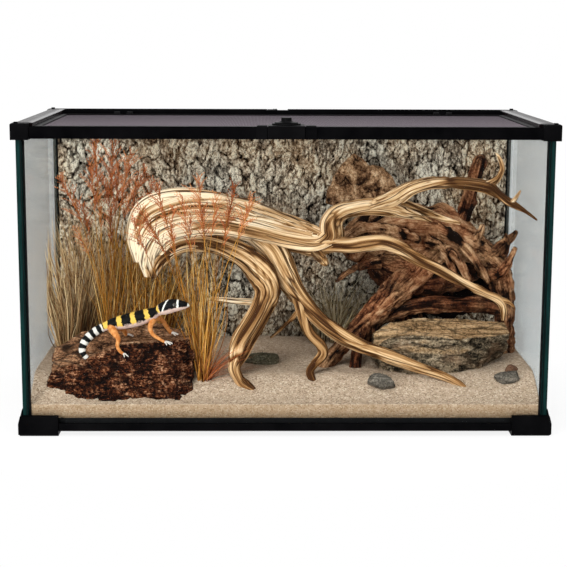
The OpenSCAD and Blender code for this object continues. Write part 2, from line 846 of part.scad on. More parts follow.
module background_panel() {
    w = inner_x - bond_t - seat_gap;
    z0 = floor_top + bead_h + seat_gap;
    z1 = block_bottom_z - 1;
    back = inner_y - slide_gap;
    n = (bark_nx + 1) * (bark_nz + 1);
    front = [
        for (j = [0:bark_nz], i = [0:bark_nx])
            let (u = i / bark_nx, v = j / bark_nz)
                [-w + 2 * w * u, back - bark_back_t - bark_relief * plate_wave(u, v), z0 + (z1 - z0) * v]
    ];
    s = bark_nx + 1;
    rim = [
        for (i = [0:bark_nx - 1]) i,
        for (j = [0:bark_nz - 1]) j * s + bark_nx,
        for (i = [bark_nx:-1:1]) bark_nz * s + i,
        for (j = [bark_nz:-1:1]) j * s
    ];
    m = len(rim);
    color([0.55, 0.5, 0.45])
        clear_of_beads() polyhedron(
            points = concat(front, [for (r = rim) [front[r][0], back, front[r][2]]], [[0, back, (z0 + z1) / 2]]),
            faces = concat(
                [for (j = [0:bark_nz - 1], i = [0:bark_nx - 1]) [j * s + i, (j + 1) * s + i, j * s + i + 1]],
                [for (j = [0:bark_nz - 1], i = [0:bark_nx - 1]) [j * s + i + 1, (j + 1) * s + i, (j + 1) * s + i + 1]],
                [for (k = [0:m - 1]) [rim[k], rim[(k + 1) % m], n + k]],
                [for (k = [0:m - 1]) [rim[(k + 1) % m], n + (k + 1) % m, n + k]],
                [for (k = [0:m - 1]) [n + k, n + (k + 1) % m, n + m]]
            )
        );
}

// Places a drawn point in the tank
function lay(p) = [p[0] * fit_x, p[1] * fit_y, sand_top + (p[2] - drawn_sand) * fit_z];

function xyz(p) = [p[0], p[1], p[2]];
function unit(v) = v / norm(v);

// Rocks

// Closed skin over stacked rings of points, each ring counter-clockwise from above
module stacked(rings) {
    n = len(rings[0]);
    m = len(rings);
    pts = [for (ring = rings, p = ring) lay(p)];
    polyhedron(
        points = concat(pts, [mean(rings[0]), mean(rings[m - 1])]),
        faces = concat(
            [for (i = [0:m - 2], k = [0:n - 1]) [i * n + k, (i + 1) * n + k, i * n + (k + 1) % n]],
            [for (i = [0:m - 2], k = [0:n - 1]) [i * n + (k + 1) % n, (i + 1) * n + k, (i + 1) * n + (k + 1) % n]],
            [for (k = [0:n - 1]) [k, (k + 1) % n, m * n]],
            [for (k = [0:n - 1]) [(m - 1) * n + (k + 1) % n, (m - 1) * n + k, m * n + 1]]
        )
    );
}

function mean(ring) = lay([for (a = [0:2]) [for (p = ring) 1] * [for (p = ring) p[a]] / len(ring)]);

// A ring between two rings, moved out from the middle by a share
function between(a, b, t, out) =
    let (c = [for (k = [0:1]) ([for (p = a) 1] * [for (p = a) p[k]]) / len(a)])
    [for (i = [0:len(a) - 1])
        let (p = a[i] + (b[i] - a[i]) * t, bulge = out + 0.03 * sin(i * 137))
            [p[0] + (p[0] - c[0]) * bulge, p[1] + (p[1] - c[1]) * bulge, p[2]]];

left_rock_top = [
    [-266, -104, 66], [-232, -110, 79], [-206, -112, 91], [-186, -111, 99], [-160, -112, 101], [-130, -106, 102],
    [-106, -90, 100], [-112, -62, 101], [-152, -34, 107], [-200, -32, 102], [-240, -38, 96], [-270, -66, 84]
];
left_rock_foot = [
    [-274, -112, 40], [-240, -127, 25], [-208, -134, 22], [-182, -135, 22], [-156, -135, 22], [-124, -134, 22],
    [-104, -112, 30], [-104, -66, 34], [-146, -32, 36], [-200, -28, 36], [-246, -34, 36], [-280, -70, 38]
];

module left_rock_form() {
    stacked([
        left_rock_foot,
        between(left_rock_foot, left_rock_top, 0.45, 0.02),
        between(left_rock_foot, left_rock_top, 0.85, 0.015),
        left_rock_top
    ]);
}

module left_rock() {
    color([0.42, 0.27, 0.2])
        on_sand() left_rock_form();
}

right_rock_top = [
    [108, -60, 78], [122, -66, 90], [140, -64, 100], [172, -68, 98], [206, -71, 95], [240, -64, 97],
    [270, -46, 97], [276, -16, 102], [238, -6, 104], [180, -8, 106], [128, -22, 104], [108, -40, 92]
];
right_rock_foot = [
    [102, -66, 40], [122, -80, 36], [146, -87, 34], [174, -89, 34], [200, -86, 34], [232, -76, 36],
    [264, -56, 40], [278, -18, 44], [238, -3, 44], [180, -4, 44], [126, -14, 44], [100, -36, 42]
];

module right_rock() {
    color([0.45, 0.4, 0.33])
        on_sand()
            stacked([
                right_rock_foot,
                between(right_rock_foot, right_rock_top, 0.4, 0.02),
                between(right_rock_foot, right_rock_top, 0.8, 0.03),
                right_rock_top
            ]);
}

// A water-worn pebble: length, depth, height and turn
module pebble(at, size, turn) {
    rows = 5;
    sides = 9;
    p = lay(at);
    pts = [
        for (i = [1:rows - 1], k = [0:sides - 1])
            let (up = 180 * i / rows - 90, a = 360 * k / sides, r = cos(up) * (1 + 0.12 * sin(a * 2 + 40 * i)))
                [size[0] * r * cos(a), size[1] * r * sin(a), size[2] * sin(up)] * fit_r / 2
    ];
    n = (rows - 1) * sides;
    translate([p[0], p[1], sand_at(p[0], p[1]) + 0.12 * size[2] * fit_r])
        rotate([0, 0, turn])
            polyhedron(
                points = concat(pts, [[0, 0, -size[2] * fit_r / 2], [0, 0, size[2] * fit_r / 2]]),
                faces = concat(
                    [for (i = [0:rows - 3], k = [0:sides - 1]) [i * sides + k, (i + 1) * sides + k, i * sides + (k + 1) % sides]],
                    [for (i = [0:rows - 3], k = [0:sides - 1])
                        [i * sides + (k + 1) % sides, (i + 1) * sides + k, (i + 1) * sides + (k + 1) % sides]],
                    [for (k = [0:sides - 1]) [k, (k + 1) % sides, n]],
                    [for (k = [0:sides - 1]) [n - sides + (k + 1) % sides, n - sides + k, n + 1]]
                )
            );
}

module pebbles() {
    color([0.35, 0.35, 0.32])
        on_sand() {
            pebble([-26, -22, 0], [50, 22, 22], 4);
            pebble([111, -104, 0], [30, 16, 16], -12);
            pebble([260, -98, 0], [34, 16, 16], 8);
            pebble([268, -77, 0], [18, 13, 10], 20);
        }
}

// Wood: limbs swept along routes of [x, y, z, half width, half depth]

function curve_at(p, i, t) =
    let (a = p[max(i - 1, 0)], b = p[i], c = p[i + 1], d = p[min(i + 2, len(p) - 1)])
    b + t / 2 * (c - a) + t * t * (a - 2.5 * b + 2 * c - 0.5 * d) + t * t * t * (1.5 * b - 1.5 * c + (d - a) / 2);

function curve(p, steps) = [
    for (i = [0:len(p) - 2], k = [0:steps - 1]) curve_at(p, i, k / steps),
    p[len(p) - 1]
];

module limb(route, steps = 2, sides = 8, ridge = 0.1, twist = 25) {
    q = curve(route, steps);
    m = len(q);
    mid = [for (p = q) lay(p)];
    pts = [
        for (i = [0:m - 1])
            let (along = unit(mid[min(i + 1, m - 1)] - mid[max(i - 1, 0)]),
                 wide = unit(cross([0, 1, 0], along)),
                 deep = cross(along, wide))
                for (k = [0:sides - 1])
                    let (a = 360 * k / sides, r = fit_r * (1 + ridge * cos(3 * a + twist * i)))
                        mid[i] + wide * q[i][3] * r * cos(a) + deep * q[i][4] * r * sin(a)
    ];
    polyhedron(
        points = concat(pts, [mid[0], mid[m - 1]]),
        faces = concat(
            [for (i = [0:m - 2], k = [0:sides - 1]) [i * sides + k, (i + 1) * sides + k, i * sides + (k + 1) % sides]],
            [for (i = [0:m - 2], k = [0:sides - 1])
                [i * sides + (k + 1) % sides, (i + 1) * sides + k, (i + 1) * sides + (k + 1) % sides]],
            [for (k = [0:sides - 1]) [k, (k + 1) % sides, m * sides]],
            [for (k = [0:sides - 1]) [(m - 1) * sides + (k + 1) % sides, (m - 1) * sides + k, m * sides + 1]]
        )
    );
}

trunk_top = [
    [-171, 4, 176, 9, 12], [-175, 4, 208, 13, 14], [-163, 2, 235, 15, 16], [-130, -2, 247, 14, 17], [-90, -4, 245, 14, 17],
    [-48, -6, 237, 13, 16], [-8, -8, 225, 12, 15], [26, -12, 213, 11, 13], [48, -14, 205, 9, 11]
];
trunk_mid = [
    [-158, -8, 160, 8, 10], [-160, -10, 190, 13, 13], [-144, -13, 213, 14, 15], [-110, -17, 222, 14, 16], [-70, -20, 221, 14, 16],
    [-34, -22, 213, 13, 15], [2, -23, 203, 12, 13], [34, -22, 198, 11, 12], [54, -19, 203, 9, 10]
];
trunk_core = [
    [-168, 0, 176, 8, 10], [-170, 0, 204, 10, 12], [-152, -3, 226, 12, 14], [-112, -6, 236, 12, 14], [-72, -9, 234, 12, 14],
    [-34, -12, 226, 12, 14], [0, -14, 215, 11, 13], [32, -17, 206, 10, 12]
];
first_leg = [
    [-152, -11, 184, 10, 10], [-112, -19, 206, 12, 12], [-76, -25, 206, 13, 13], [-48, -32, 193, 15, 15],
    [-28, -43, 168, 16, 13], [-20, -50, 150, 15, 12], [-26, -57, 132, 12, 11], [-37, -66, 113, 11, 10],
    [-46, -74, 97, 10, 9], [-58, -83, 79, 8, 8], [-57, -92, 64, 7, 7], [-47, -100, 50, 7, 6], [-36, -106, 41, 5, 5]
];
long_ribbon = [
    [-36, -18, 212, 12, 12], [-14, -24, 194, 15, 13], [0, -31, 168, 15, 12], [12, -37, 148, 12, 11],
    [24, -43, 132, 10, 9], [44, -51, 112, 9, 8], [66, -60, 97, 9, 8], [88, -68, 87, 8, 7], [110, -76, 80, 7, 7],
    [132, -84, 73, 7, 6], [154, -91, 66, 6, 5], [178, -97, 59, 5, 4], [198, -103, 51, 4, 3], [208, -106, 44, 3, 2]
];
middle_leg = [
    [14, -40, 140, 6, 6], [22, -47, 117, 6, 6], [30, -55, 99, 6, 6], [43, -63, 86, 6, 6],
    [45, -70, 76, 6, 6], [34, -78, 66, 5, 5], [29, -86, 58, 5, 5], [35, -95, 46, 4, 4]
];
back_twig = [[20, -41, 128, 3, 3], [9, -35, 112, 2.5, 2.5], [-4, -28, 98, 2, 2], [-16, -20, 86, 1.5, 1.5]];
side_stub = [[-22, -52, 134, 4, 4], [-58, -44, 135, 3.5, 3.5], [-87, -40, 137, 2.5, 2.5]];
knee_ribbon = [
    [14, -18, 203, 10, 12], [38, -19, 199, 12, 13], [55, -18, 208, 13, 13], [56, -16, 224, 12, 12],
    [65, -14, 236, 10, 11], [83, -12, 241, 9, 10], [105, -12, 243, 9, 10], [127, -12, 240, 8, 9], [146, -12, 235, 6, 6],
    [166, -10, 230, 4, 5]
];
lower_ribbon = [
    [44, -20, 200, 10, 11], [60, -22, 200, 9, 10], [79, -24, 199, 9, 9], [100, -27, 202, 9, 9], [119, -30, 203, 8, 8], [138, -34, 196, 8, 8],
    [160, -38, 183, 8, 7], [183, -42, 172, 7, 7], [208, -46, 159, 6, 6], [236, -48, 146, 5, 5], [253, -50, 138, 5, 5],
    [259, -50, 127, 4, 4], [258, -49, 113, 2, 2]
];
upper_arm = [
    [100, -14, 243, 7, 9], [113, -13, 247, 9, 10], [130, -12, 253, 10, 10], [150, -13, 265, 8, 9], [174, -16, 272, 7, 8],
    [198, -21, 273, 7, 7], [221, -27, 272, 7, 7], [241, -34, 268, 7, 7], [258, -60, 256, 5, 5], [273, -84, 248, 3, 3],
    [284, -104, 240, 1.5, 1.5]
];
horn = [[234, -31, 269, 5, 5], [249, -30, 278, 4, 4], [256, -27, 291, 3, 3], [253, -23, 303, 2, 2], [249, -21, 308, 1, 1]];
shoulder = [[122, -12, 248, 7, 8], [142, -4, 246, 6, 7], [160, 0, 239, 5, 6], [178, 2, 232, 4, 5], [196, 2, 226, 3, 3], [212, 2, 222, 2, 2]];

module driftwood() {
    color(wood)
        on_sand() {
            limb(trunk_top);
            limb(trunk_mid);
            limb(trunk_core);
            limb(first_leg);
            limb(long_ribbon);
            limb(middle_leg, sides = 6);
            limb(back_twig, sides = 6, steps = 1);
            limb(side_stub, sides = 6, steps = 1);
            limb(knee_ribbon);
            limb(lower_ribbon);
            limb(upper_arm);
            limb(horn, sides = 6);
            limb(shoulder, sides = 6);
        }
}

stump_body = [
    [84, 62, 172, 20, 18], [98, 64, 190, 30, 24], [126, 66, 200, 36, 26], [160, 66, 202, 38, 27], [196, 64, 196, 37, 27],
    [226, 58, 184, 32, 24], [250, 50, 172, 22, 19], [262, 44, 162, 14, 14]
];
stump_lower = [
    [112, 54, 168, 16, 16], [132, 54, 158, 26, 22], [158, 52, 150, 30, 24], [188, 50, 150, 30, 25], [216, 50, 158, 24, 22],
    [242, 48, 162, 16, 17]
];
stump_root = [
    [190, 50, 174, 20, 18], [160, 36, 150, 21, 15], [128, 16, 126, 16, 12], [99, -6, 103, 12, 10],
    [74, -22, 80, 10, 9], [56, -32, 62, 9, 9], [46, -38, 44, 10, 9]
];
stump_toe = [[100, -4, 104, 8, 8], [92, -22, 84, 7, 7], [86, -38, 66, 7, 6], [84, -46, 46, 7, 6]];
stump_bar = [
    [108, 20, 92, 7, 7], [122, 20, 103, 8, 8], [146, 20, 112, 8, 8], [176, 21, 118, 9, 8], [210, 21, 118, 9, 8], [244, 21, 118, 9, 8],
    [266, 20, 114, 8, 8]
];
stump_heel = [[112, 22, 94, 8, 8], [104, 30, 76, 10, 9], [102, 34, 46, 13, 11]];
stump_trunk = [
    [246, 50, 178, 16, 16], [264, 36, 164, 12, 12], [270, 26, 145, 12, 11], [272, 22, 122, 12, 11], [272, 20, 98, 12, 12],
    [271, 22, 72, 13, 13], [270, 24, 42, 15, 14]
];
stump_spike = [
    [250, 44, 172, 14, 13], [264, 34, 184, 10, 10], [274, 22, 198, 6, 6], [281, 10, 210, 3, 3]
];
stump_post = [
    [206, 62, 168, 12, 11], [214, 62, 192, 11, 10], [224, 62, 214, 9, 9], [234, 62, 240, 8, 8], [240, 62, 268, 7, 7], [244, 62, 294, 5, 5]
];
stump_back = [
    [150, 66, 182, 20, 18], [156, 72, 130, 18, 14], [160, 76, 90, 20, 14], [162, 76, 44, 24, 15]
];
stump_crest = [[190, 50, 214, 9, 9], [206, 36, 204, 8, 8], [224, 26, 186, 6, 6], [240, 20, 164, 5, 5], [250, 16, 146, 3, 3]];

module root_stump() {
    color(dark_wood)
        on_sand() {
            limb(stump_body, ridge = 0.14);
            limb(stump_lower, ridge = 0.14);
            limb(stump_root);
            limb(stump_toe, sides = 6);
            limb(stump_bar);
            limb(stump_heel, sides = 6);
            limb(stump_trunk);
            limb(stump_spike, sides = 6);
            limb(stump_post);
            limb(stump_back);
            limb(stump_crest, sides = 6);
        }
}

// Slab of bark behind the stump, on a narrow foot in the sand
slab_edge = [
    [138, 40], [166, 40], [168, 150], [150, 200], [144, 232], [147, 254], [139, 270], [123, 286], [112, 289],
    [93, 296], [80, 284], [66, 266], [60, 250], [60, 238], [84, 226], [112, 214], [130, 190], [138, 140]
];

module bark_slab() {
    slab_y = 108;
    slab_t = 10;
    color([0.34, 0.22, 0.14])
        on_sand()
            translate([0, slab_t * fit_y, 0])
                along_y((slab_y - slab_t) * fit_y, slab_y * fit_y)
                    polygon([for (p = slab_edge) let (q = lay([p[0], 0, p[1]])) [q[0], q[2]]]);
}

// Grass: blades fan out from a crown and never cross, because every height spreads them alike

// Where a blade that starts at a point of the crown is at a share of the full height
function blade_at(start, t, fan, lean) = [
    start[0] * (1 + fan[0] * t * t) + lean[0] * t * t,
    start[1] * (1 + fan[1] * t * t) + lean[1] * t * t,
    0
];

module blade(foot, start, height, reach, fan, lean, width, foot_drop) {
    heights = [-foot_drop, 0.35 * reach, 0.72 * reach];
    pts = [
        for (i = [0:2], k = [0:2])
            let (t = max(0, heights[i]) / height, c = blade_at(start, t, fan, lean), r = width * (1 - 0.3 * i) / 2)
                [c[0] + r * cos(120 * k + 30), c[1] + r * sin(120 * k + 30), heights[i]]
    ];
    tip = blade_at(start, reach / height, fan, lean) + [0, 0, reach];
    translate(foot)
        polyhedron(
            points = concat(pts, [tip]),
            faces = concat(
                [[0, 1, 2]],
                [for (i = [0:1], k = [0:2]) [i * 3 + k, i * 3 + 3 + k, i * 3 + (k + 1) % 3]],
                [for (i = [0:1], k = [0:2]) [i * 3 + (k + 1) % 3, i * 3 + 3 + k, i * 3 + 3 + (k + 1) % 3]],
                [for (k = [0:2]) [6 + k, 9, 6 + (k + 1) % 3]]
            )
        );
}

// A tuft of blades on a round crown pressed into the sand
module tuft(at, count, height, crown, fan, lean) {
    p = lay(at);
    drop = 4;
    foot = [p[0], p[1], sand_at(p[0], p[1]) + 2];
    h = height * fit_z;
    for (i = [0:count - 1])
        let (a = i * 137.508, r = (crown - 1.5) * sqrt((i + 0.5) / count) * fit_r)
            blade(foot, [r * cos(a), r * sin(a)], h, h * (0.72 + 0.28 * abs(sin(i * 71))),
                  fan, [lean[0] * fit_x, lean[1] * fit_y], blade_w * fit_r, drop - 1);
    translate(foot - [0, 0, drop])
        cylinder(r = crown * fit_r, h = drop, $fn = 12);
}

module grass_left() {
    color([0.7, 0.6, 0.42])
        on_sand() {
            tuft([-254, 36, 0], blades, 166, 8, [4, 2.4], [2, 2]);
            tuft([-236, 86, 0], blades, 188, 8, [4.6, 2], [-4, 2]);
        }
}

module grass_golden() {
    color([0.75, 0.55, 0.25])
        on_sand() {
            tuft([-186, 82, 0], blades, 180, 8, [4.6, 2], [0, 2]);
            tuft([-134, 88, 0], blades, 176, 8, [4.2, 2], [6, 2]);
            tuft([-93, -64, 0], blades, 168, 8, [6, 1.2], [-6, -6]);
        }
}

module grass_pale() {
    color([0.78, 0.72, 0.5])
        on_sand()
            tuft([70, 90, 0], blades, 90, 8, [3, 1.6], [10, 4]);
}

// Plumes: thin stems that each carry a tapered seed head, on one crown
module plume_tuft(at, crown, tips) {
    p = lay(at);
    z = sand_at(p[0], p[1]);
    for (tip = tips) {
        q = [tip[0], tip[1], tip[2]];
        side = (tip[0] - at[0]) / 40;
        limb([
            [at[0] + side, at[1], at[2] - 6, 1.1, 1.1],
            [at[0] + side + (q[0] - at[0]) * 0.35, at[1] + (q[1] - at[1]) * 0.5, at[2] + (q[2] - at[2]) * 0.55, 0.8, 0.8],
            [at[0] + (q[0] - at[0]) * 0.72, q[1], q[2] - tip[3], 0.8, 0.8],
            [at[0] + (q[0] - at[0]) * 0.84, q[1], q[2] - tip[3] * 0.6, 3.2, 2.6],
            [q[0], q[1], q[2], 0.5, 0.5]
        ], steps = 1, sides = 4, ridge = 0);
    }
    translate([p[0], p[1], z - 3])
        cylinder(r = crown * fit_r, h = 5, $fn = 12);
}

module red_plumes() {
    color([0.62, 0.28, 0.16])
        on_sand() {
            plume_tuft([-214, 20, 56], 6, [
                [-264, 22, 276, 34], [-244, 24, 240, 26], [-232, 22, 292, 34], [-214, 24, 268, 30], [-206, 22, 318, 40],
                [-186, 24, 296, 34], [-172, 22, 262, 28]
            ]);
            plume_tuft([-88, -92, 50], 5, [
                [-166, -84, 250, 30], [-146, -84, 274, 34], [-122, -84, 256, 28], [-102, -84, 282, 34],
                [-78, -84, 258, 30], [-56, -84, 272, 30], [-34, -84, 256, 26]
            ]);
        }
}

// Gecko: body and tail in one sweep, four legs, feet cut to the rock

gecko_spine = [
    [-214, -106, 78, 1.5, 1.5], [-226, -106, 79, 3, 3], [-232, -104, 88, 5, 5], [-228, -101, 99, 6, 6], [-218, -98, 108, 6, 6],
    [-206, -96, 113, 6, 6], [-196, -96, 117, 8, 8], [-182, -96, 120, 10, 11], [-166, -96, 124, 10, 11], [-152, -96, 129, 8, 9],
    [-146, -97, 132, 6.5, 7], [-138, -98, 136, 8, 10], [-126, -99, 138, 7, 9], [-116, -100, 138, 3, 4]
];
gecko_hind = [[-202, -99, 113, 4.5, 4.5], [-194, -108, 108, 4, 4], [-190, -112, 100, 3, 3], [-195, -112, 92, 3.5, 3.5], [-188, -115, 86, 4, 3]];
gecko_fore = [[-152, -99, 124, 4, 4], [-156, -107, 117, 3, 3], [-152, -110, 108, 2.5, 2.5], [-145, -111, 102, 3, 3], [-137, -112, 96, 3.5, 3]];
gecko_far_hind = [[-196, -92, 112, 4, 4], [-188, -84, 110, 3, 3], [-184, -80, 98, 3, 3]];
gecko_far_fore = [[-150, -92, 124, 4, 4], [-142, -84, 120, 3, 3], [-136, -81, 110, 3, 3], [-132, -80, 99, 3, 3]];

module gecko_figure() {
    color([0.85, 0.65, 0.2])
        difference() {
            union() {
                limb(gecko_spine, ridge = 0);
                limb(gecko_hind, sides = 6, ridge = 0);
                limb(gecko_fore, sides = 6, ridge = 0);
                limb(gecko_far_hind, sides = 6, ridge = 0, steps = 1);
                limb(gecko_far_fore, sides = 6, ridge = 0, steps = 1);
            }
            translate([0, 0, seat_gap])
                left_rock_form();
        }
}

front_glass();
rear_glass();
left_glass();
right_glass();
floor_glass();
corner_silicone();
floor_silicone();
base_rail_front();
base_rail_rear();
base_rail_left();
base_rail_right();
foot_front_left();
foot_front_right();
foot_rear_left();
foot_rear_right();
top_rail_front();
top_rail_rear();
top_rail_left();
top_rail_right();
corner_front_left();
corner_front_right();
corner_rear_left();
corner_rear_right();
latch_guides();
hinge_pins();
background_panel();
sand_bed();
left_rock();
right_rock();
pebbles();
driftwood();
root_stump();
bark_slab();
grass_left();
grass_golden();
grass_pale();
red_plumes();
gecko_figure();
lid_frame();
screen_mesh();
screen_retainer();
latch_plate();
lock_seat();
lock_knob();
lock_cam();
cam_screw();
cable_gate();
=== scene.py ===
import bpy
import bmesh
import math
import numpy as np
from mathutils import Matrix


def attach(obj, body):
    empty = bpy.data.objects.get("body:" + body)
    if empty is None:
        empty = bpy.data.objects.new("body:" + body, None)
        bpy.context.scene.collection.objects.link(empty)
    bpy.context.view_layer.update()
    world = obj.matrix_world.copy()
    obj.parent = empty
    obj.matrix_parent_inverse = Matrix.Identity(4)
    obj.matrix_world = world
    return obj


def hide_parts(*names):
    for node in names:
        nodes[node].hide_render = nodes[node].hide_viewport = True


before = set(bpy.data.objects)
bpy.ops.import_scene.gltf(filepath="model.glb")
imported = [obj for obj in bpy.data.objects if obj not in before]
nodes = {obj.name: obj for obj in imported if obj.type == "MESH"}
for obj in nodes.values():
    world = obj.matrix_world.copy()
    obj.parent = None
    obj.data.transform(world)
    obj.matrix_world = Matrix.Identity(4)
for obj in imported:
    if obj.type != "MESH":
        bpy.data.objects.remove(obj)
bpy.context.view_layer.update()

# Lengths are in millimetres, in the tank's own frame, and are turned to metres when a mesh is made.
# Colours and the distances inside a finish are in Blender's own units: linear colour and metres.
MM = 0.001
TANK = "tank"

# Inside of the panes
INNER_X, INNER_Y = 290.0, 140.0
PANE = 5.0
PANE_FOOT, PANE_TOP = 8.0, 343.0
FLOOR_TOP = 18.0

# Bed of sand: its edges, its depth at the front and the rear, and how far back it rises
SAND_X, SAND_Y0, SAND_Y1 = 289.2, -139.2, 128.4
SAND_FRONT, SAND_REAR = 16.5, 38.0
SAND_BANK = 65.0

# Bark panel, and the width and height of its plates and of the chips that split them
PANEL_X, PANEL_Z0, PANEL_Z1 = 287.4, 19.1, 331.0
PANEL_BACK = 139.7
PANEL_CORE = 4.0
BARK_RELIEF = 7.0
BARK_PLATE, BARK_CHIP = (11.0, 26.0), (3.9, 6.2)
BARK_CRACK = 0.17

# Wire screen in the lid
SCREEN_LOW, SCREEN_HIGH = (-272.2, -125.2, 344.2), (272.2, 95.2, 345.0)
WIRE_PITCH, WIRE_HALF, WEAVE_LIFT = 1.7, 0.22, 0.08
SCREEN_BAND = 2.6

# Rounded edges of moulded and steel parts, and the ground edge of the glass
MOULDED_EDGE, STEEL_EDGE = 0.45, 0.15
GROUND_EDGE = 0.6

# Room that the grass keeps to, and how deep it is rooted
BLADE_X, BLADE_Y0, BLADE_Y1 = 285, -136, 126
ROOT_DEPTH = 2

# The longest edge left in a rock and in the slab of bark
ROCK_GRAIN, SLAB_GRAIN = 4.2, 4

# Where a finish changes over the tank, from and to, in metres
RAIL_SHOULDER = (0.281, 0.286)
DUST_SPAN = (-0.14, 0.13)
# The height over which the glass's painted reflection changes, and where its painted highlight by the rear
# bead starts and ends
REFLECTION_RISE = (0.02, 0.2)
HIGHLIGHT_START, HIGHLIGHT_END = (0.095, 0.1), (0.128, 0.132)
ROCK_TOP = (0.07, 0.09)
# Where the wood is bleached, and where its painted shade starts low down and where it deepens at the feet
BLEACHED_X, SHADED_Z, FOOT_SHADE_Z = (-0.16, 0.0), (0.1, 0.23), (0.036, 0.062)
SUNLIT_ROOT_Z = (0.14, 0.2)


# Noise and curves

def lattice(x, y, z, seed):
    """A repeatable number from 0 to 1 for each whole-number place."""
    h = (x * 374761393 + y * 668265263 + z * 1274126177 + seed * 974634777) & 0xFFFFFFFF
    h = ((h ^ (h >> 13)) * 1274126177) & 0xFFFFFFFF
    return (h ^ (h >> 16)) / 4294967295.0


def noise(points, size=1.0, seed=0):
    """Smooth noise from -1 to 1 whose lumps are about one size across."""
    p = np.asarray(points, float) / size
    base = np.floor(p).astype(np.int64)
    f = p - base
    f = f * f * f * (f * (f * 6 - 15) + 10)
    total = 0.0
    for dx in (0, 1):
        wx = f[..., 0] if dx else 1 - f[..., 0]
        for dy in (0, 1):
            wy = f[..., 1] if dy else 1 - f[..., 1]
            for dz in (0, 1):
                wz = f[..., 2] if dz else 1 - f[..., 2]
                value = lattice(base[..., 0] + dx, base[..., 1] + dy, base[..., 2] + dz, seed)
                total = total + wx * wy * wz * value
    return total * 2 - 1


def layered(points, size, octaves=4, seed=0, gain=0.5):
    """Noise of several sizes, each half as large as the one before."""
    total, weight, share = 0.0, 0.0, 1.0
    for k in range(octaves):
        total = total + share * noise(points, size / 2 ** k, seed + 17 * k)
        weight += share
        share *= gain
    return total / weight


def cells(points, seed=0):
    """Distances to the nearest two of points that lie one in each unit square, and the nearest one's tag."""
    p = np.asarray(points, float)
    base = np.floor(p).astype(np.int64)
    near = np.full(p.shape[:-1], 9.0)
    second = np.full(p.shape[:-1], 9.0)
    tag = np.zeros(p.shape[:-1])
    zero = np.zeros_like(base[..., 0])
    for dx in (-1, 0, 1):
        for dy in (-1, 0, 1):
            cx, cy = base[..., 0] + dx, base[..., 1] + dy
            ox = cx + lattice(cx, cy, zero, seed)
            oy = cy + lattice(cx, cy, zero, seed + 1)
            d = np.hypot(p[..., 0] - ox, p[..., 1] - oy)
            closer = d < near
            second = np.where(closer, near, np.minimum(second, d))
            tag = np.where(closer, lattice(cx, cy, zero, seed + 2), tag)
            near = np.where(closer, d, near)
    return near, second, tag


def smooth(t):
    """An even rise from 0 to 1, flat at both ends."""
    t = np.clip(t, 0, 1)
    return t * t * (3 - 2 * t)


def flow(route, steps):
    """Points on a smooth curve through the rows of a route, with all of a row's values."""
    p = np.asarray(route, float)
    n = len(p)
    rows = []
    for i in range(n - 1):
        a, b, c, d = p[max(i - 1, 0)], p[i], p[i + 1], p[min(i + 2, n - 1)]
        for k in range(steps):
            t = k / steps
            rows.append(b + t / 2 * (c - a) + t * t * (a - 2.5 * b + 2 * c - 0.5 * d)
                        + t ** 3 * (1.5 * b - 1.5 * c + (d - a) / 2))
    rows.append(p[-1])
    return np.array(rows)


def length_along(path):
    """How far along a path each of its points lies."""
    return np.concatenate([[0], np.cumsum(np.linalg.norm(np.diff(path[:, :3], axis=0), axis=1))])


def even_steps(route, gap):
    """A route made smooth and cut into even steps, and how far along it each step lies."""
    q = flow(route, 8)
    s = length_along(q)
    place = np.linspace(0, s[-1], max(6, int(s[-1] / gap)))
    return np.stack([np.interp(place, s, q[:, k]) for k in range(5)], axis=1), place


def hump(x, y, cx, cy, rx, ry):
    """A round mound of height 1."""
    return np.exp(-((x - cx) / rx) ** 2 - ((y - cy) / ry) ** 2)


def sand_at(x, y):
    """Height of the sand over a point of the floor, as in the CAD."""
    behind = y + INNER_Y
    return (FLOOR_TOP + SAND_FRONT + (SAND_REAR - SAND_FRONT) * smooth(behind / SAND_BANK)
            + 4 * (x / INNER_X) ** 4 * smooth(behind / 40)
            + 4 * hump(x, y, 150, 60, 90, 60) + 2.5 * hump(x, y, -60, 70, 60, 50)
            - 2 * hump(x, y, 30, -40, 60, 30)
            + 0.5 * np.sin(np.radians(x * 3.1 + y * 1.3)) * smooth(behind / 20))


# Finishes

class Wire:
    """An output socket: sums, differences, products and powers of it add their Math nodes."""

    def __init__(self, finish, socket):
        self.finish = finish
        self.socket = socket

    def maths(self, operation, *values, **settings):
        return self.finish.node("Math", dict(enumerate(values)), operation=operation, **settings)

    def __add__(self, other):
        return self.maths("ADD", self, other)

    def __radd__(self, other):
        return self.maths("ADD", other, self)

    def __sub__(self, other):
        return self.maths("SUBTRACT", self, other)

    def __rsub__(self, other):
        return self.maths("SUBTRACT", other, self)

    def __mul__(self, other):
        return self.maths("MULTIPLY", self, other)

    def __rmul__(self, other):
        return self.maths("MULTIPLY", other, self)

    def __pow__(self, other):
        return self.maths("POWER", self, other)

    def over(self, limit):
        return self.maths("GREATER_THAN", self, limit)

    def larger(self, other):
        return self.maths("MAXIMUM", self, other)

    def clamped(self):
        return self.maths("ADD", self, 0.0, use_clamp=True)

    def size(self):
        return self.maths("ABSOLUTE", self)

    def between(self, low, high):
        """0 below low, 1 above high and a straight rise between."""
        return self.finish.node("MapRange", {"Value": self, "From Min": low, "From Max": high}, clamp=True)

    def out(self, name):
        """Another output of the same node."""
        return Wire(self.finish, self.socket.node.outputs[name])


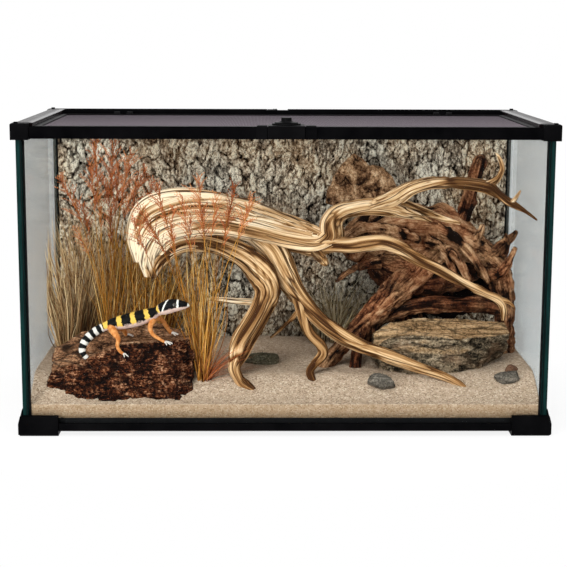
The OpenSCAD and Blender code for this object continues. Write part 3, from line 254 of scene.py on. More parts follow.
class Finish:
    """A material, or the world, and the few kinds of node that make it."""

    def __init__(self, name, kept_in=bpy.data.materials, end="OutputMaterial"):
        self.made = kept_in.new(name)
        self.made.use_nodes = True
        self.tree = self.made.node_tree
        self.tree.nodes.clear()
        self.end = end
        self.places = {}

    def node(self, kind, inputs=None, out=0, stops=(), **settings):
        """Adds a node: its settings first, then the values or wires of its sockets."""
        node = self.tree.nodes.new("ShaderNode" + kind)
        for key, value in settings.items():
            setattr(node, key, value)
        for k, (place, colour) in enumerate(stops):
            ramp = node.color_ramp.elements
            element = ramp[k] if k < len(ramp) else ramp.new(1)
            element.position = place
            element.color = (*colour, 1)
        for key, value in (inputs or {}).items():
            socket = node.inputs[key]
            if isinstance(value, Wire):
                self.tree.links.new(value.socket, socket)
            elif isinstance(value, tuple) and len(value) < len(socket.default_value):
                socket.default_value = (*value, 1)
            else:
                socket.default_value = value
        return Wire(self, node.outputs[out]) if node.outputs else None

    def place(self, stretch=(1, 1, 1)):
        """The point of the surface in its own frame, stretched."""
        if stretch not in self.places:
            here = self.node("TexCoord", out="Object")
            self.places[stretch] = self.node("VectorMath", {0: here, 1: stretch}, operation="MULTIPLY")
        return self.places[stretch]

    def axis(self, name):
        """Where the surface lies along X, Y or Z, in metres."""
        return self.node("SeparateXYZ", {0: self.place()}, out=name)

    def facing(self):
        """0 where the surface is seen straight on, and 1 at its rim."""
        return self.node("LayerWeight", {"Blend": 0.5}, out="Facing")

    def seen(self):
        """1 for what the camera sees, also in a mirror or through glass, and 0 for light on the object."""
        ray = self.node("LightPath", out="Is Camera Ray")
        return ray.larger(ray.out("Is Transmission Ray")).larger(ray.out("Is Glossy Ray"))

    def stored(self, name, stretch=None):
        """A value that the mesh carries: a vector when it is stretched, and a number otherwise."""
        kept = self.node("Attribute", out="Fac" if stretch is None else "Vector", attribute_name=name)
        if stretch is None:
            return kept
        return self.node("VectorMath", {0: kept, 1: stretch}, operation="MULTIPLY")

    def texture(self, kind, scale, at, inputs, **settings):
        """A texture at a point of the surface; a scale of three numbers stretches it."""
        if at is None:
            at = self.place(scale) if isinstance(scale, tuple) else self.place()
        size = 1.0 if isinstance(scale, tuple) else scale
        return self.node(kind, {"Vector": at, "Scale": size, **inputs}, **settings)

    def grain(self, scale, at=None, detail=4.0, roughness=0.55, distortion=0.0):
        return self.texture("TexNoise", scale, at, {"Detail": detail, "Roughness": roughness,
                                                    "Distortion": distortion})

    def lively(self, scale, at=None, gain=2.4, **settings):
        """Noise whose light and dark reach further from the middle."""
        return (self.grain(scale, at, **settings) - 0.5) * gain + 0.5

    def cracks(self, scale, feature="DISTANCE_TO_EDGE"):
        return self.texture("TexVoronoi", scale, None, {}, feature=feature)

    def ramp(self, value, *stops):
        return self.node("ValToRGB", {"Fac": value}, stops=stops)

    def mix(self, share, low, high, blend="MIX"):
        return self.node("Mix", {0: share, 6: low, 7: high}, out=2, data_type="RGBA", blend_type=blend)

    def bump(self, height, strength, distance):
        return self.node("Bump", {"Height": height, "Strength": strength, "Distance": distance})

    def principled(self, **sockets):
        """A surface shader; it has little shine unless its specular level is given."""
        sockets = {"specular_ior_level": 0.05, **sockets}
        return self.node("BsdfPrincipled", {key.replace("_", " ").title().replace("Ior", "IOR"): value
                                            for key, value in sockets.items()})

    def done(self, shader):
        """Ends the tree in its output."""
        self.node(self.end, {"Surface": shader})
        return self.made

    def surface(self, **sockets):
        return self.done(self.principled(**sockets))


# Plastic, metal and glass

def moulded_plastic(f, gloss):
    """Black moulded plastic with a fine spark-eroded grain and slightly rubbed patches."""
    rubbed = f.lively(38, detail=5)
    speckle = f.grain(2600, detail=2)
    colour = f.mix(rubbed, (0.001, 0.001, 0.0012), (0.0026, 0.0025, 0.0028))
    return f.surface(base_color=colour, roughness=0.3 + rubbed * 0.12 + speckle * 0.08,
                     normal=f.bump(speckle, 0.25, 0.00006), specular_ior_level=gloss)


def rail_plastic(f):
    """The left and right top rails: black, with a smooth drawn skin that shines at a low angle."""
    rubbed = f.lively(30, detail=5)
    draw = f.lively((330, 2, 330), gain=2.6, detail=2)
    colour = f.mix(rubbed, (0.004, 0.002, 0.0024), (0.007, 0.004, 0.0045))
    outer = f.axis("X").size().between(*RAIL_SHOULDER)
    sheen = (f.facing().between(0.5, 0.95) * (0.8 - outer * 0.46 + (draw - 0.5) * 0.3)).clamped()
    return f.surface(base_color=colour, roughness=0.35 + rubbed * 0.1, specular_ior_level=0.02,
                     coat_weight=sheen, coat_roughness=0.22, normal=f.bump(draw, 0.2, 0.00005))


def lid_plastic(f):
    """The same plastic where it has been polished by handling."""
    rubbed = f.lively(30, detail=5)
    streaks = f.grain((900, 90, 900), detail=3)
    colour = f.mix(rubbed, (0.0014, 0.0013, 0.0015), (0.0034, 0.0032, 0.0035))
    return f.surface(base_color=colour, roughness=0.3 + rubbed * 0.12 + streaks * 0.08,
                     normal=f.bump(f.grain(2400, detail=2), 0.22, 0.00006), specular_ior_level=0.018)


def zinc_steel(f):
    """Zinc-plated steel of the cam and its screw, brushed and with a few stains."""
    streaks = f.grain((3000, 200, 200), detail=3)
    stains = f.grain(140, detail=4)
    colour = f.mix(stains, (0.2, 0.2, 0.215), (0.34, 0.34, 0.35))
    return f.surface(base_color=colour, metallic=1.0, roughness=0.26 + streaks * 0.2, specular_ior_level=0.5,
                     normal=f.bump(streaks, 0.3, 0.00003))


def black_steel(f):
    """Oiled black steel of the hinge pins."""
    stains = f.lively(260, detail=4)
    colour = f.mix(stains, (0.008, 0.008, 0.009), (0.02, 0.02, 0.022))
    return f.surface(base_color=colour, metallic=0.6, roughness=0.4 + stains * 0.12, specular_ior_level=0.5,
                     normal=f.bump(stains, 0.3, 0.00003))


def coated_wire(f):
    """Black coated wire, with more dust on it toward the front."""
    worn = f.lively(420, detail=3)
    dust = 1 - f.axis("Y").between(*DUST_SPAN)
    colour = f.mix(worn, (0.023, 0.018, 0.022), (0.052, 0.043, 0.051))
    colour = f.mix(dust * 0.5 + 0.06, colour, (0.15, 0.125, 0.14))
    return f.surface(base_color=colour, roughness=0.5 + worn * 0.15, specular_ior_level=0.06)


def black_silicone(f):
    """Black silicone drawn out by hand, in slow waves."""
    waves = f.grain(160, f.place((1, 1, 0.35)), detail=3)
    colour = f.mix(waves, (0.002, 0.002, 0.0022), (0.006, 0.006, 0.0065))
    return f.surface(base_color=colour, roughness=0.35 + waves * 0.14, specular_ior_level=0.08,
                     normal=f.bump(waves, 0.5, 0.0004))


def clear_pane(f, rim_reflection, low, high, mirror, strip=0.0):
    """Float glass: clear when looked through, and brighter at a glancing angle with mirroring and a painted
    reflection, a flat colour laid over it.
    """
    smears = f.grain(9, f.place((1, 1, 0.6)), detail=4, distortion=0.4)
    # Painted reflection: a flat colour, changing with height, that covers the glass more at a glancing angle
    painted_reflection = f.mix(f.axis("Z").between(*REFLECTION_RISE), low, high)
    share = (f.facing() ** 5.0 * rim_reflection + mirror + smears * 0.004).clamped()
    if strip:
        # Painted highlight: a pale strip beside the rear bead, where the glass is also clearer
        depth = f.axis("Y")
        painted_highlight = depth.between(*HIGHLIGHT_START) * (1 - depth.between(*HIGHLIGHT_END))
        painted_reflection = f.mix(painted_highlight, painted_reflection, (0.8, 0.8, 0.79))
        share = share * (1 - painted_highlight * strip)
    body = f.principled(base_color=painted_reflection, roughness=0.16 + smears * 0.04, specular_ior_level=0.4)
    clear = f.node("BsdfTransparent", {"Color": (0.975, 0.99, 0.988)})
    return f.done(f.node("MixShader", {0: share, 1: clear, 2: body}))


def pane_edge(f):
    """The dark green edge of the glass, cut and polished."""
    streaks = f.lively((900, 900, 40), detail=3)
    colour = f.mix(streaks, (0.0006, 0.006, 0.0056), (0.003, 0.022, 0.02))
    return f.surface(base_color=colour, roughness=0.2 + streaks * 0.1)


# Bark, sand and stone

def bark_panel(f):
    """Grey-brown bark in relief: pale flaking crests, brown flanks and black cracks."""
    flakes = f.lively((330, 330, 200), gain=2.6, detail=6, roughness=0.62)
    scales = f.lively((90, 90, 48), gain=2.2, detail=4, roughness=0.6, distortion=0.8)
    splits = f.cracks((210, 210, 120))
    shade = f.lively(14, gain=2.0, detail=4)
    level = f.stored("relief") * 0.86 + (flakes - 0.5) * 0.84 + (scales - 0.5) * 0.56 + 0.23
    grey = f.ramp(level, (0.06, (0.003, 0.0025, 0.002)), (0.2, (0.03, 0.024, 0.019)),
                  (0.38, (0.13, 0.105, 0.08)), (0.56, (0.32, 0.27, 0.21)), (0.76, (0.6, 0.52, 0.41)),
                  (0.95, (0.88, 0.8, 0.66)))
    brown = f.ramp(level, (0.06, (0.004, 0.0025, 0.0015)), (0.2, (0.045, 0.024, 0.012)),
                   (0.38, (0.19, 0.11, 0.058)), (0.56, (0.38, 0.25, 0.15)), (0.76, (0.64, 0.48, 0.32)),
                   (0.95, (0.9, 0.76, 0.56)))
    colour = f.mix(shade.between(0.3, 0.75), grey, brown)
    # Painted shade low on the panel, and random mottling, darken the bark as the mesh's values say
    shade_and_mottle_colour = f.mix(1.0, colour, (0.3, 0.3, 0.32), blend="MULTIPLY")
    colour = f.mix(f.stored("patch").clamped() * 0.55, colour, shade_and_mottle_colour)
    colour = f.mix(splits.between(0.01, 0.05) * 0.8 + 0.2, (0.006, 0.004, 0.003), colour)
    return f.surface(base_color=colour, roughness=0.8 + flakes * 0.08,
                     normal=f.bump(flakes + scales * 0.6, 0.9, 0.0014))


def desert_sand(f):
    """Fine pale sand with darker and rust-coloured grains."""
    grains = f.cracks(760, feature="F1")
    pick = f.node("SeparateColor", {0: grains.out("Color")}, out="Red")
    clumps = f.lively(190, gain=2.2, detail=5, roughness=0.65)
    light = f.mix(f.lively(9, gain=2, detail=3), (0.43, 0.315, 0.225), (0.52, 0.386, 0.284))
    colour = f.mix(clumps.between(0.1, 0.75), (0.33, 0.235, 0.155), light)
    colour = f.mix(pick.between(0.8, 0.84) * 0.55, colour, (0.12, 0.065, 0.035))
    colour = f.mix((1 - pick).between(0.84, 0.88) * 0.42, colour, (0.84, 0.71, 0.56))
    colour = f.mix((1 - f.stored("top")).clamped() * 0.6, colour, (0.34, 0.2, 0.095))
    return f.surface(base_color=colour, roughness=0.9 - clumps * 0.05,
                     normal=f.bump(grains * -1.0 + clumps * 0.7, 0.8, 0.0009))


def rock_red(f):
    """Dark red-brown rock, tan where it is weathered on top, with pale veins and dark splits."""
    lumps = f.lively(60, gain=2.6, detail=7, roughness=0.66)
    fine = f.lively(330, gain=2.4, detail=5, roughness=0.7)
    bands = f.lively((40, 60, 210), gain=2.4, detail=6, roughness=0.6, distortion=0.8)
    patches = f.lively(26, gain=2.6, detail=3)
    scars = f.lively((95, 110, 420), gain=2.4, detail=5, roughness=0.6, distortion=1.2)
    level = (lumps * 0.34 + fine * 0.34 + scars * 0.32 - 0.5) * 2.4 + (patches - 0.5) * 0.24 + 0.44
    side = f.ramp(level, (0.1, (0.002, 0.0007, 0.0005)), (0.34, (0.014, 0.0038, 0.0015)),
                  (0.55, (0.068, 0.017, 0.006)), (0.75, (0.185, 0.062, 0.024)), (0.95, (0.46, 0.25, 0.14)))
    crown = f.ramp(bands * 0.45 + fine * 0.55, (0.1, (0.006, 0.003, 0.002)), (0.32, (0.055, 0.021, 0.009)),
                   (0.55, (0.29, 0.135, 0.065)), (0.76, (0.56, 0.33, 0.19)), (0.95, (0.8, 0.56, 0.37)))
    colour = f.mix(f.stored("top"), side, crown)
    veins = f.cracks((48, 60, 84))
    colour = f.mix((1 - veins.between(0.006, 0.022)) * lumps.between(0.45, 0.7) * 0.6, colour,
                   (0.3, 0.15, 0.085))
    whole = (f.stored("solid") * 0.9 + 0.1) * (f.cracks((70, 90, 150)).between(0.0, 0.045) * 0.85 + 0.15)
    colour = f.mix(whole, (0.003, 0.0012, 0.0008), colour)
    return f.surface(base_color=colour, roughness=0.55 + fine * 0.2,
                     normal=f.bump(lumps * 0.6 + fine * 0.5 + bands * 0.2, 0.9, 0.0024))


def rock_grey(f):
    """Olive-grey rock with lichen, and ochre layers on its split top."""
    lumps = f.lively(70, gain=2.4, detail=7, roughness=0.68)
    fine = f.lively(360, gain=2.6, detail=5, roughness=0.7)
    layers = f.lively((20, 120, 330), gain=2.4, detail=6, roughness=0.62, distortion=0.7)
    lichen = f.lively(38, gain=2.0, detail=5, roughness=0.6)
    patches = f.lively(24, gain=2.6, detail=3)
    slant = f.lively((60, 90, 260), gain=2.4, detail=5, roughness=0.6, distortion=1.0)
    level = (lumps * 0.3 + fine * 0.36 + slant * 0.34 - 0.5) * 1.6 + (patches - 0.5) * 0.34 + 0.47
    side = f.ramp(level, (0.1, (0.006, 0.005, 0.0035)), (0.32, (0.055, 0.042, 0.027)),
                  (0.52, (0.205, 0.146, 0.09)), (0.72, (0.38, 0.285, 0.185)), (0.95, (0.66, 0.54, 0.39)))
    side = f.mix(lichen.between(0.45, 0.9) * 0.6, side, (0.25, 0.135, 0.075))
    crown = f.ramp(layers * 0.55 + fine * 0.45, (0.08, (0.012, 0.006, 0.003)), (0.3, (0.13, 0.07, 0.028)),
                   (0.5, (0.44, 0.26, 0.125)), (0.74, (0.72, 0.48, 0.27)), (0.95, (0.92, 0.71, 0.46)))
    colour = f.mix(f.stored("top") * f.axis("Z").between(*ROCK_TOP), side, crown)
    whole = (f.stored("solid") * 0.8 + 0.2) * (f.cracks((60, 90, 170)).between(0.0, 0.04) * 0.7 + 0.3)
    colour = f.mix(whole, (0.008, 0.006, 0.003), colour)
    return f.surface(base_color=colour, roughness=0.7 + fine * 0.12,
                     normal=f.bump(lumps * 0.6 + fine * 0.6 + layers * 0.3, 0.9, 0.0022))


def river_stone(f):
    """Worn pebbles in olive, grey or rust, as the tint of each says."""
    tint = f.stored("tint")
    bands = f.lively((55, 120, 260), gain=2.2, detail=6, roughness=0.6, distortion=0.8)
    fine = f.lively(500, gain=2.2, detail=4, roughness=0.7)
    level = bands * 0.5 + fine * 0.5
    olive = f.ramp(level, (0.15, (0.014, 0.012, 0.008)), (0.5, (0.09, 0.078, 0.05)), (0.9, (0.3, 0.26, 0.18)))
    grey = f.ramp(level, (0.15, (0.014, 0.012, 0.01)), (0.5, (0.085, 0.072, 0.058)),
                  (0.9, (0.3, 0.255, 0.21)))
    rust = f.ramp(level, (0.15, (0.03, 0.013, 0.008)), (0.5, (0.13, 0.065, 0.038)), (0.9, (0.34, 0.2, 0.13)))
    colour = f.mix(tint.over(0.3), olive, grey)
    colour = f.mix(tint.over(0.75), colour, rust)
    return f.surface(base_color=colour, roughness=0.6 + fine * 0.2, normal=f.bump(level, 0.6, 0.0012))


# Wood, stalks and the animal

def weathered_wood(f, crack, flank, body, crest, bleached):
    """Bare wood: long fibres along each limb, thin dark splits and bleached crests, with painted shade in the
    grooves, low down and at the feet.
    """
    tone = f.lively(1.0, f.stored("grain", (0.085, 0.085, 0.0028)), gain=2.6, detail=3, distortion=0.3)
    fibres = f.lively(1.0, f.stored("grain", (0.6, 0.6, 0.006)), gain=2.6, detail=4, roughness=0.55,
                      distortion=0.25)
    hairs = f.lively(1.0, f.stored("grain", (1.7, 1.7, 0.03)), gain=2.0, detail=3, roughness=0.6)
    split = f.grain(1.0, f.stored("grain", (0.1, 0.1, 0.002)), detail=1.5, roughness=0.5, distortion=0.2)
    fine_split = f.grain(1.0, f.stored("grain", (0.22, 0.22, 0.003)), detail=1.2, roughness=0.5,
                         distortion=0.2)
    stains = f.lively(13, gain=2.4, detail=4)
    bleach = 1 - f.axis("X").between(*BLEACHED_X)
    # Painted shade: darker low down, and darker still at the feet on the sand
    shade = 1 - f.axis("Z").between(*SHADED_Z)
    foot = 1 - f.axis("Z").between(*FOOT_SHADE_Z)
    # The relief darkens the grooves, partly as the wood's own colour and partly as painted shade
    level = (f.stored("relief") * (0.62 + bleach * 0.5) + (fibres - 0.5) * 0.42
             + (tone - 0.5) * (0.2 + bleach * 0.16) + (hairs - 0.5) * 0.18 + (f.stored("tint") - 0.5) * 0.26
             + bleach * 0.05 - shade * 0.1 - foot * 0.16 + 0.04)
    colour = f.ramp(level, (0.0, crack), (0.2, flank), (0.42, body), (0.66, crest), (0.95, bleached))
    colour = f.mix(stains.between(0.5, 0.95) * 0.2, colour, f.mix(1.0, colour, flank, blend="SOFT_LIGHT"))
    thin = (split - 0.5).size().between(0.004, 0.03) * 0.94 + 0.06
    thinner = (fine_split - 0.5).size().between(0.003, 0.03) * 0.76 + 0.24
    colour = f.mix(thin, crack, f.mix(thinner, flank, colour))
    return f.surface(base_color=colour, roughness=0.62 + hairs * 0.12,
                     normal=f.bump(fibres * 0.6 + hairs * 0.3 + thin * 1.2, 0.8, 0.0011))


def root_wood(f):
    """Dark burled root wood: short broken fibres, rusty spots, worn edges, and hollows blackened as painted
    shade.
    """
    relief = f.stored("relief")
    burl = f.lively(48, gain=2.4, detail=7, roughness=0.66, distortion=0.7)
    fibres = f.lively(1.0, f.stored("grain", (0.5, 0.5, 0.03)), gain=2.4, detail=5, roughness=0.62,
                      distortion=0.6)
    fine = f.lively(360, gain=2.4, detail=4, roughness=0.7)
    rust = f.lively(22, gain=2.4, detail=3)
    high = f.axis("Z").between(*SUNLIT_ROOT_Z)
    # The relief darkens the grooves, partly as the wood's own colour and partly as painted shade
    level = (relief * 0.34 + (burl - 0.5) * 0.26 + (fibres - 0.5) * 0.46 + (fine - 0.5) * 0.3
             + (f.stored("tint") - 0.5) * 0.34 + high * 0.1 + 0.2)
    brown = f.ramp(level, (0.08, (0.003, 0.0012, 0.0006)), (0.28, (0.03, 0.0125, 0.006)),
                   (0.46, (0.125, 0.056, 0.026)), (0.64, (0.33, 0.165, 0.078)), (0.9, (0.64, 0.4, 0.225)))
    red = f.ramp(level, (0.08, (0.004, 0.001, 0.0005)), (0.26, (0.045, 0.0125, 0.005)),
                 (0.46, (0.17, 0.056, 0.023)), (0.66, (0.36, 0.155, 0.07)), (0.92, (0.6, 0.36, 0.2)))
    colour = f.mix(rust.between(0.3, 0.75), brown, red)
    # Painted shade: the deepest hollows of the relief are made nearly black
    colour = f.mix(relief.between(0.0, 0.14), (0.006, 0.0024, 0.0012), colour)
    return f.surface(base_color=colour, roughness=0.7 + fine * 0.1,
                     normal=f.bump(burl * 0.5 + fibres * 0.5 + fine * 0.3, 0.9, 0.0022))


def thick_bark(f):
    """Brown bark in lumps, with checks of two sizes that the lumps break up."""
    lumps = f.lively(52, gain=2.6, detail=7, roughness=0.66, distortion=0.6)
    fine = f.lively(300, gain=2.6, detail=5, roughness=0.7)
    level = (lumps * 0.62 + fine * 0.38 - 0.5) * 1.5 + 0.52
    colour = f.ramp(level, (0.1, (0.012, 0.005, 0.002)), (0.34, (0.065, 0.029, 0.013)),
                    (0.55, (0.22, 0.11, 0.053)), (0.75, (0.43, 0.25, 0.13)), (0.95, (0.68, 0.47, 0.29)))
    whole = (f.cracks((75, 75, 38)).between(0.01, 0.05) + lumps.between(0.4, 0.62)).clamped()
    colour = f.mix(whole, (0.006, 0.003, 0.0015), colour)
    small = f.cracks((190, 190, 90))
    colour = f.mix(small.between(0.01, 0.05) * 0.5 + 0.5, (0.01, 0.005, 0.003), colour)
    return f.surface(base_color=colour, roughness=0.85, normal=f.bump(lumps + fine * 0.5, 0.9, 0.0024))


def dry_stalks(f, *stops):
    """Dry blades: darker at the foot, each with its own shade."""
    veins = f.grain((1500, 1500, 60), detail=3)
    level = f.stored("along") * 0.36 + f.stored("tint") * 0.78 + (veins - 0.5) * 0.4 - 0.08
    return f.surface(base_color=f.ramp(level, *stops), roughness=0.6 + veins * 0.2,
                     normal=f.bump(veins, 0.5, 0.0003))


def gecko_skin(f):
    """Yellow and black bands on the back, ringed tail, pale belly, orange legs, all in fine beaded scales."""
    side, area = f.stored("side"), f.stored("area")
    blotch = f.grain(260, detail=3)
    edge = (blotch - 0.5) * 0.9
    dark = (f.stored("band") + edge).between(0.44, 0.56)
    pale = f.mix(blotch, (0.5, 0.3, 0.25), (0.74, 0.56, 0.48))
    back = f.mix(dark, (0.66, 0.41, 0.075), (0.004, 0.0035, 0.003))
    back = f.mix((side + edge * 0.5).between(0.6, 0.72), back, pale)
    tail = f.mix(dark, (0.6, 0.55, 0.5), (0.005, 0.005, 0.005))
    leg = f.mix(blotch.between(0.35, 0.65), (0.4, 0.12, 0.025), (0.62, 0.27, 0.09))
    leg = f.mix(area.over(0.65), leg, (0.66, 0.6, 0.55))
    head = f.mix(dark, (0.76, 0.72, 0.64), (0.004, 0.004, 0.004))
    head = f.mix((side + edge * 0.2).between(0.56, 0.62), head, pale)
    colour = f.mix(area.over(0.25), back, tail)
    colour = f.mix(area.over(0.5), colour, leg)
    colour = f.mix(area.over(0.75), colour, head)
    return f.surface(base_color=colour, roughness=0.42 + blotch * 0.15,
                     normal=f.bump(f.cracks(900, feature="F1"), 0.4, 0.00035))


def gecko_eye(f):
    """A wet, nearly black eye."""
    colour = f.mix(f.grain(700, detail=3), (0.01, 0.008, 0.006), (0.05, 0.035, 0.02))
    return f.surface(base_color=colour, roughness=0.08, specular_ior_level=0.5, coat_weight=0.8,
                     coat_roughness=0.02)


# Each finish: what makes it, and the values that set it apart
FINISHES = {
    "moulded_plastic": (moulded_plastic, 0.01),
    "matt_plastic": (moulded_plastic, 0.0),
    "rail_plastic": (rail_plastic,),
    "lid_plastic": (lid_plastic,),
    "zinc_steel": (zinc_steel,),
    "black_steel": (black_steel,),
    "coated_wire": (coated_wire,),
    "black_silicone": (black_silicone,),
    # Glass: how much painted reflection it takes at a glancing angle, that reflection's colours low and high,
    # its mirroring, and how much clearer its painted highlight strip is
    "front_pane": (clear_pane, 0.6, (0.03, 0.032, 0.033), (0.03, 0.032, 0.033), 0.004),
    "side_pane": (clear_pane, 1.1, (0.54, 0.57, 0.59), (0.31, 0.3, 0.295), 0.03, 0.45),
    "pane_edge": (pane_edge,),
    "bark_panel": (bark_panel,),
    "desert_sand": (desert_sand,),
    "rock_red": (rock_red,),
    "rock_grey": (rock_grey,),
    "river_stone": (river_stone,),
    "pale_wood": (weathered_wood, (0.045, 0.016, 0.005), (0.19, 0.085, 0.028), (0.41, 0.225, 0.095),
                  (0.7, 0.46, 0.25), (0.98, 0.79, 0.56)),
    "root_wood": (root_wood,),
    "bark_slab": (thick_bark,),
    "straw": (dry_stalks, (0.05, (0.06, 0.026, 0.01)), (0.3, (0.3, 0.155, 0.065)),
              (0.6, (0.6, 0.375, 0.175)), (0.95, (0.86, 0.65, 0.37))),
    "golden": (dry_stalks, (0.05, (0.08, 0.024, 0.006)), (0.3, (0.3, 0.11, 0.018)),
               (0.6, (0.66, 0.31, 0.055)), (0.95, (0.93, 0.63, 0.25))),
    "pale_stalk": (dry_stalks, (0.05, (0.07, 0.042, 0.02)), (0.3, (0.32, 0.22, 0.11)),
                   (0.6, (0.62, 0.48, 0.28)), (0.95, (0.9, 0.78, 0.55))),
    "plume": (dry_stalks, (0.05, (0.1, 0.02, 0.006)), (0.3, (0.3, 0.068, 0.02)),
              (0.6, (0.54, 0.15, 0.047)), (0.95, (0.8, 0.36, 0.15))),
    "gecko_skin": (gecko_skin,),
    "gecko_eye": (gecko_eye,),
}
FINISH = {name: make(Finish(name), *values) for name, (make, *values) in FINISHES.items()}


# Meshes

def piece(name, points, faces, finish, body=TANK, slot=None, shaded=True, replaces=(), outward=True,
          **stored):
    """Makes one piece from points in millimetres, whose points carry the stored values, and rides it."""
    mesh = bpy.data.meshes.new(name)
    mesh.from_pydata((np.asarray(points, float) * MM).tolist(), [], faces)
    if outward:
        work = bmesh.new()
        work.from_mesh(mesh)
        bmesh.ops.recalc_face_normals(work, faces=work.faces)
        work.to_mesh(mesh)
        work.free()
    for key, values in stored.items():
        values = np.asarray(values, float)
        kind, field = ("FLOAT_VECTOR", "vector") if values.ndim == 2 else ("FLOAT", "value")
        mesh.attributes.new(key, kind, "POINT").data.foreach_set(field, values.ravel())
    if shaded:
        mesh.polygons.foreach_set("use_smooth", [True] * len(mesh.polygons))
    for one in finish if isinstance(finish, (list, tuple)) else [finish]:
        mesh.materials.append(FINISH[one])
    mesh.update()
    thing = placed(name, mesh)
    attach(thing, body)
    if replaces:
        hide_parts(*replaces)
    return thing


def placed(name, data):
    """An object of the scene that holds a mesh, a lamp or a camera."""
    thing = bpy.data.objects.new(name, data)
    bpy.context.scene.collection.objects.link(thing)
    return thing


class Build:
    """Points, faces and stored values of one piece, gathered from several parts."""

    def __init__(self):
        self.points, self.faces, self.stored, self.count = [], [], {}, 0

    def add(self, points, faces, **stored):
        points = np.asarray(points, float)
        self.points.append(points)
        self.faces += [tuple(i + self.count for i in face) for face in faces]
        self.count += len(points)
        for key, value in stored.items():
            value = np.asarray(value, float)
            if value.ndim == 0:
                value = np.full(len(points), float(value))
            self.stored.setdefault(key, []).append(value)

    def make(self, name, finish, **settings):
        stored = {key: np.concatenate(values) for key, values in self.stored.items()}
        return piece(name, np.concatenate(self.points), self.faces, finish, **settings, **stored)


def tube_faces(rings, sides):
    """Faces of a closed tube of rings, whose two end points follow the rings' points."""
    faces = []
    for i in range(rings - 1):
        a, b = i * sides, (i + 1) * sides
        for k in range(sides):
            n = (k + 1) % sides
            faces.append((a + k, a + n, b + n, b + k))
    last = (rings - 1) * sides
    start, end = rings * sides, rings * sides + 1
    for k in range(sides):
        n = (k + 1) % sides
        faces.append((n, k, start))
        faces.append((last + k, last + n, end))
    return faces


def grid_faces(rows, columns):
    """Faces of a grid of points that is stored row by row."""
    return [(j * columns + i, j * columns + i + 1, (j + 1) * columns + i + 1, (j + 1) * columns + i)
            for j in range(rows - 1) for i in range(columns - 1)]


def grid_rim(rows, columns):
    """The outer points of such a grid, in order round it."""
    return (list(range(columns)) + [j * columns + columns - 1 for j in range(1, rows)]
            + [(rows - 1) * columns + i for i in range(columns - 2, -1, -1)]
            + [j * columns for j in range(rows - 2, 0, -1)])


def wall_faces(upper, lower):
    """Faces between two closed rings of points."""
    count = len(upper)
    return [(upper[(k + 1) % count], upper[k], lower[k], lower[(k + 1) % count]) for k in range(count)]


def ball(rings, sides, reach):
    """Rings of points on a ball of radius 1, from -reach to reach degrees of latitude."""
    up = np.radians(np.linspace(-reach, reach, rings))
    round_it = np.radians(np.linspace(0, 360, sides, endpoint=False))
    U, A = np.meshgrid(up, round_it, indexing="ij")
    return np.stack([np.cos(U) * np.cos(A), np.cos(U) * np.sin(A), np.sin(U)], axis=-1)


def split_long(work, longest, rounds, **how):
    """Splits the edges of a mesh until none is longer than given, or for so many rounds at most."""
    bmesh.ops.triangulate(work, faces=work.faces)
    for _ in range(rounds):
        long = [e for e in work.edges if e.calc_length() > longest]
        if not long:
            break
        bmesh.ops.subdivide_edges(work, edges=long, cuts=1, **how)
        bmesh.ops.triangulate(work, faces=work.faces)


def points_and_faces(work):
    return (np.array([v.co[:] for v in work.verts]),
            [tuple(v.index for v in face.verts) for face in work.faces])


def frames_along(path):
    """The run of a path and two directions across it at each point, as in the CAD's limbs."""
    ahead = np.vstack([path[1:], path[-1:]])
    behind = np.vstack([path[:1], path[:-1]])
    run = ahead - behind
    run /= np.linalg.norm(run, axis=1)[:, None]
    wide = np.cross(np.array([0.0, 1.0, 0.0]), run)
    wide /= np.maximum(np.linalg.norm(wide, axis=1)[:, None], 1e-6)
    return run, wide, np.cross(run, wide)


# A limb's grain: the size of its slow bends, and how much finer its threads and coarser its clefts are
BEND_SIZE = (26, 26, 60)
THREADS, CLEFTS = (2.2, 2.2, 1.5), (0.45, 0.45, 0.8)


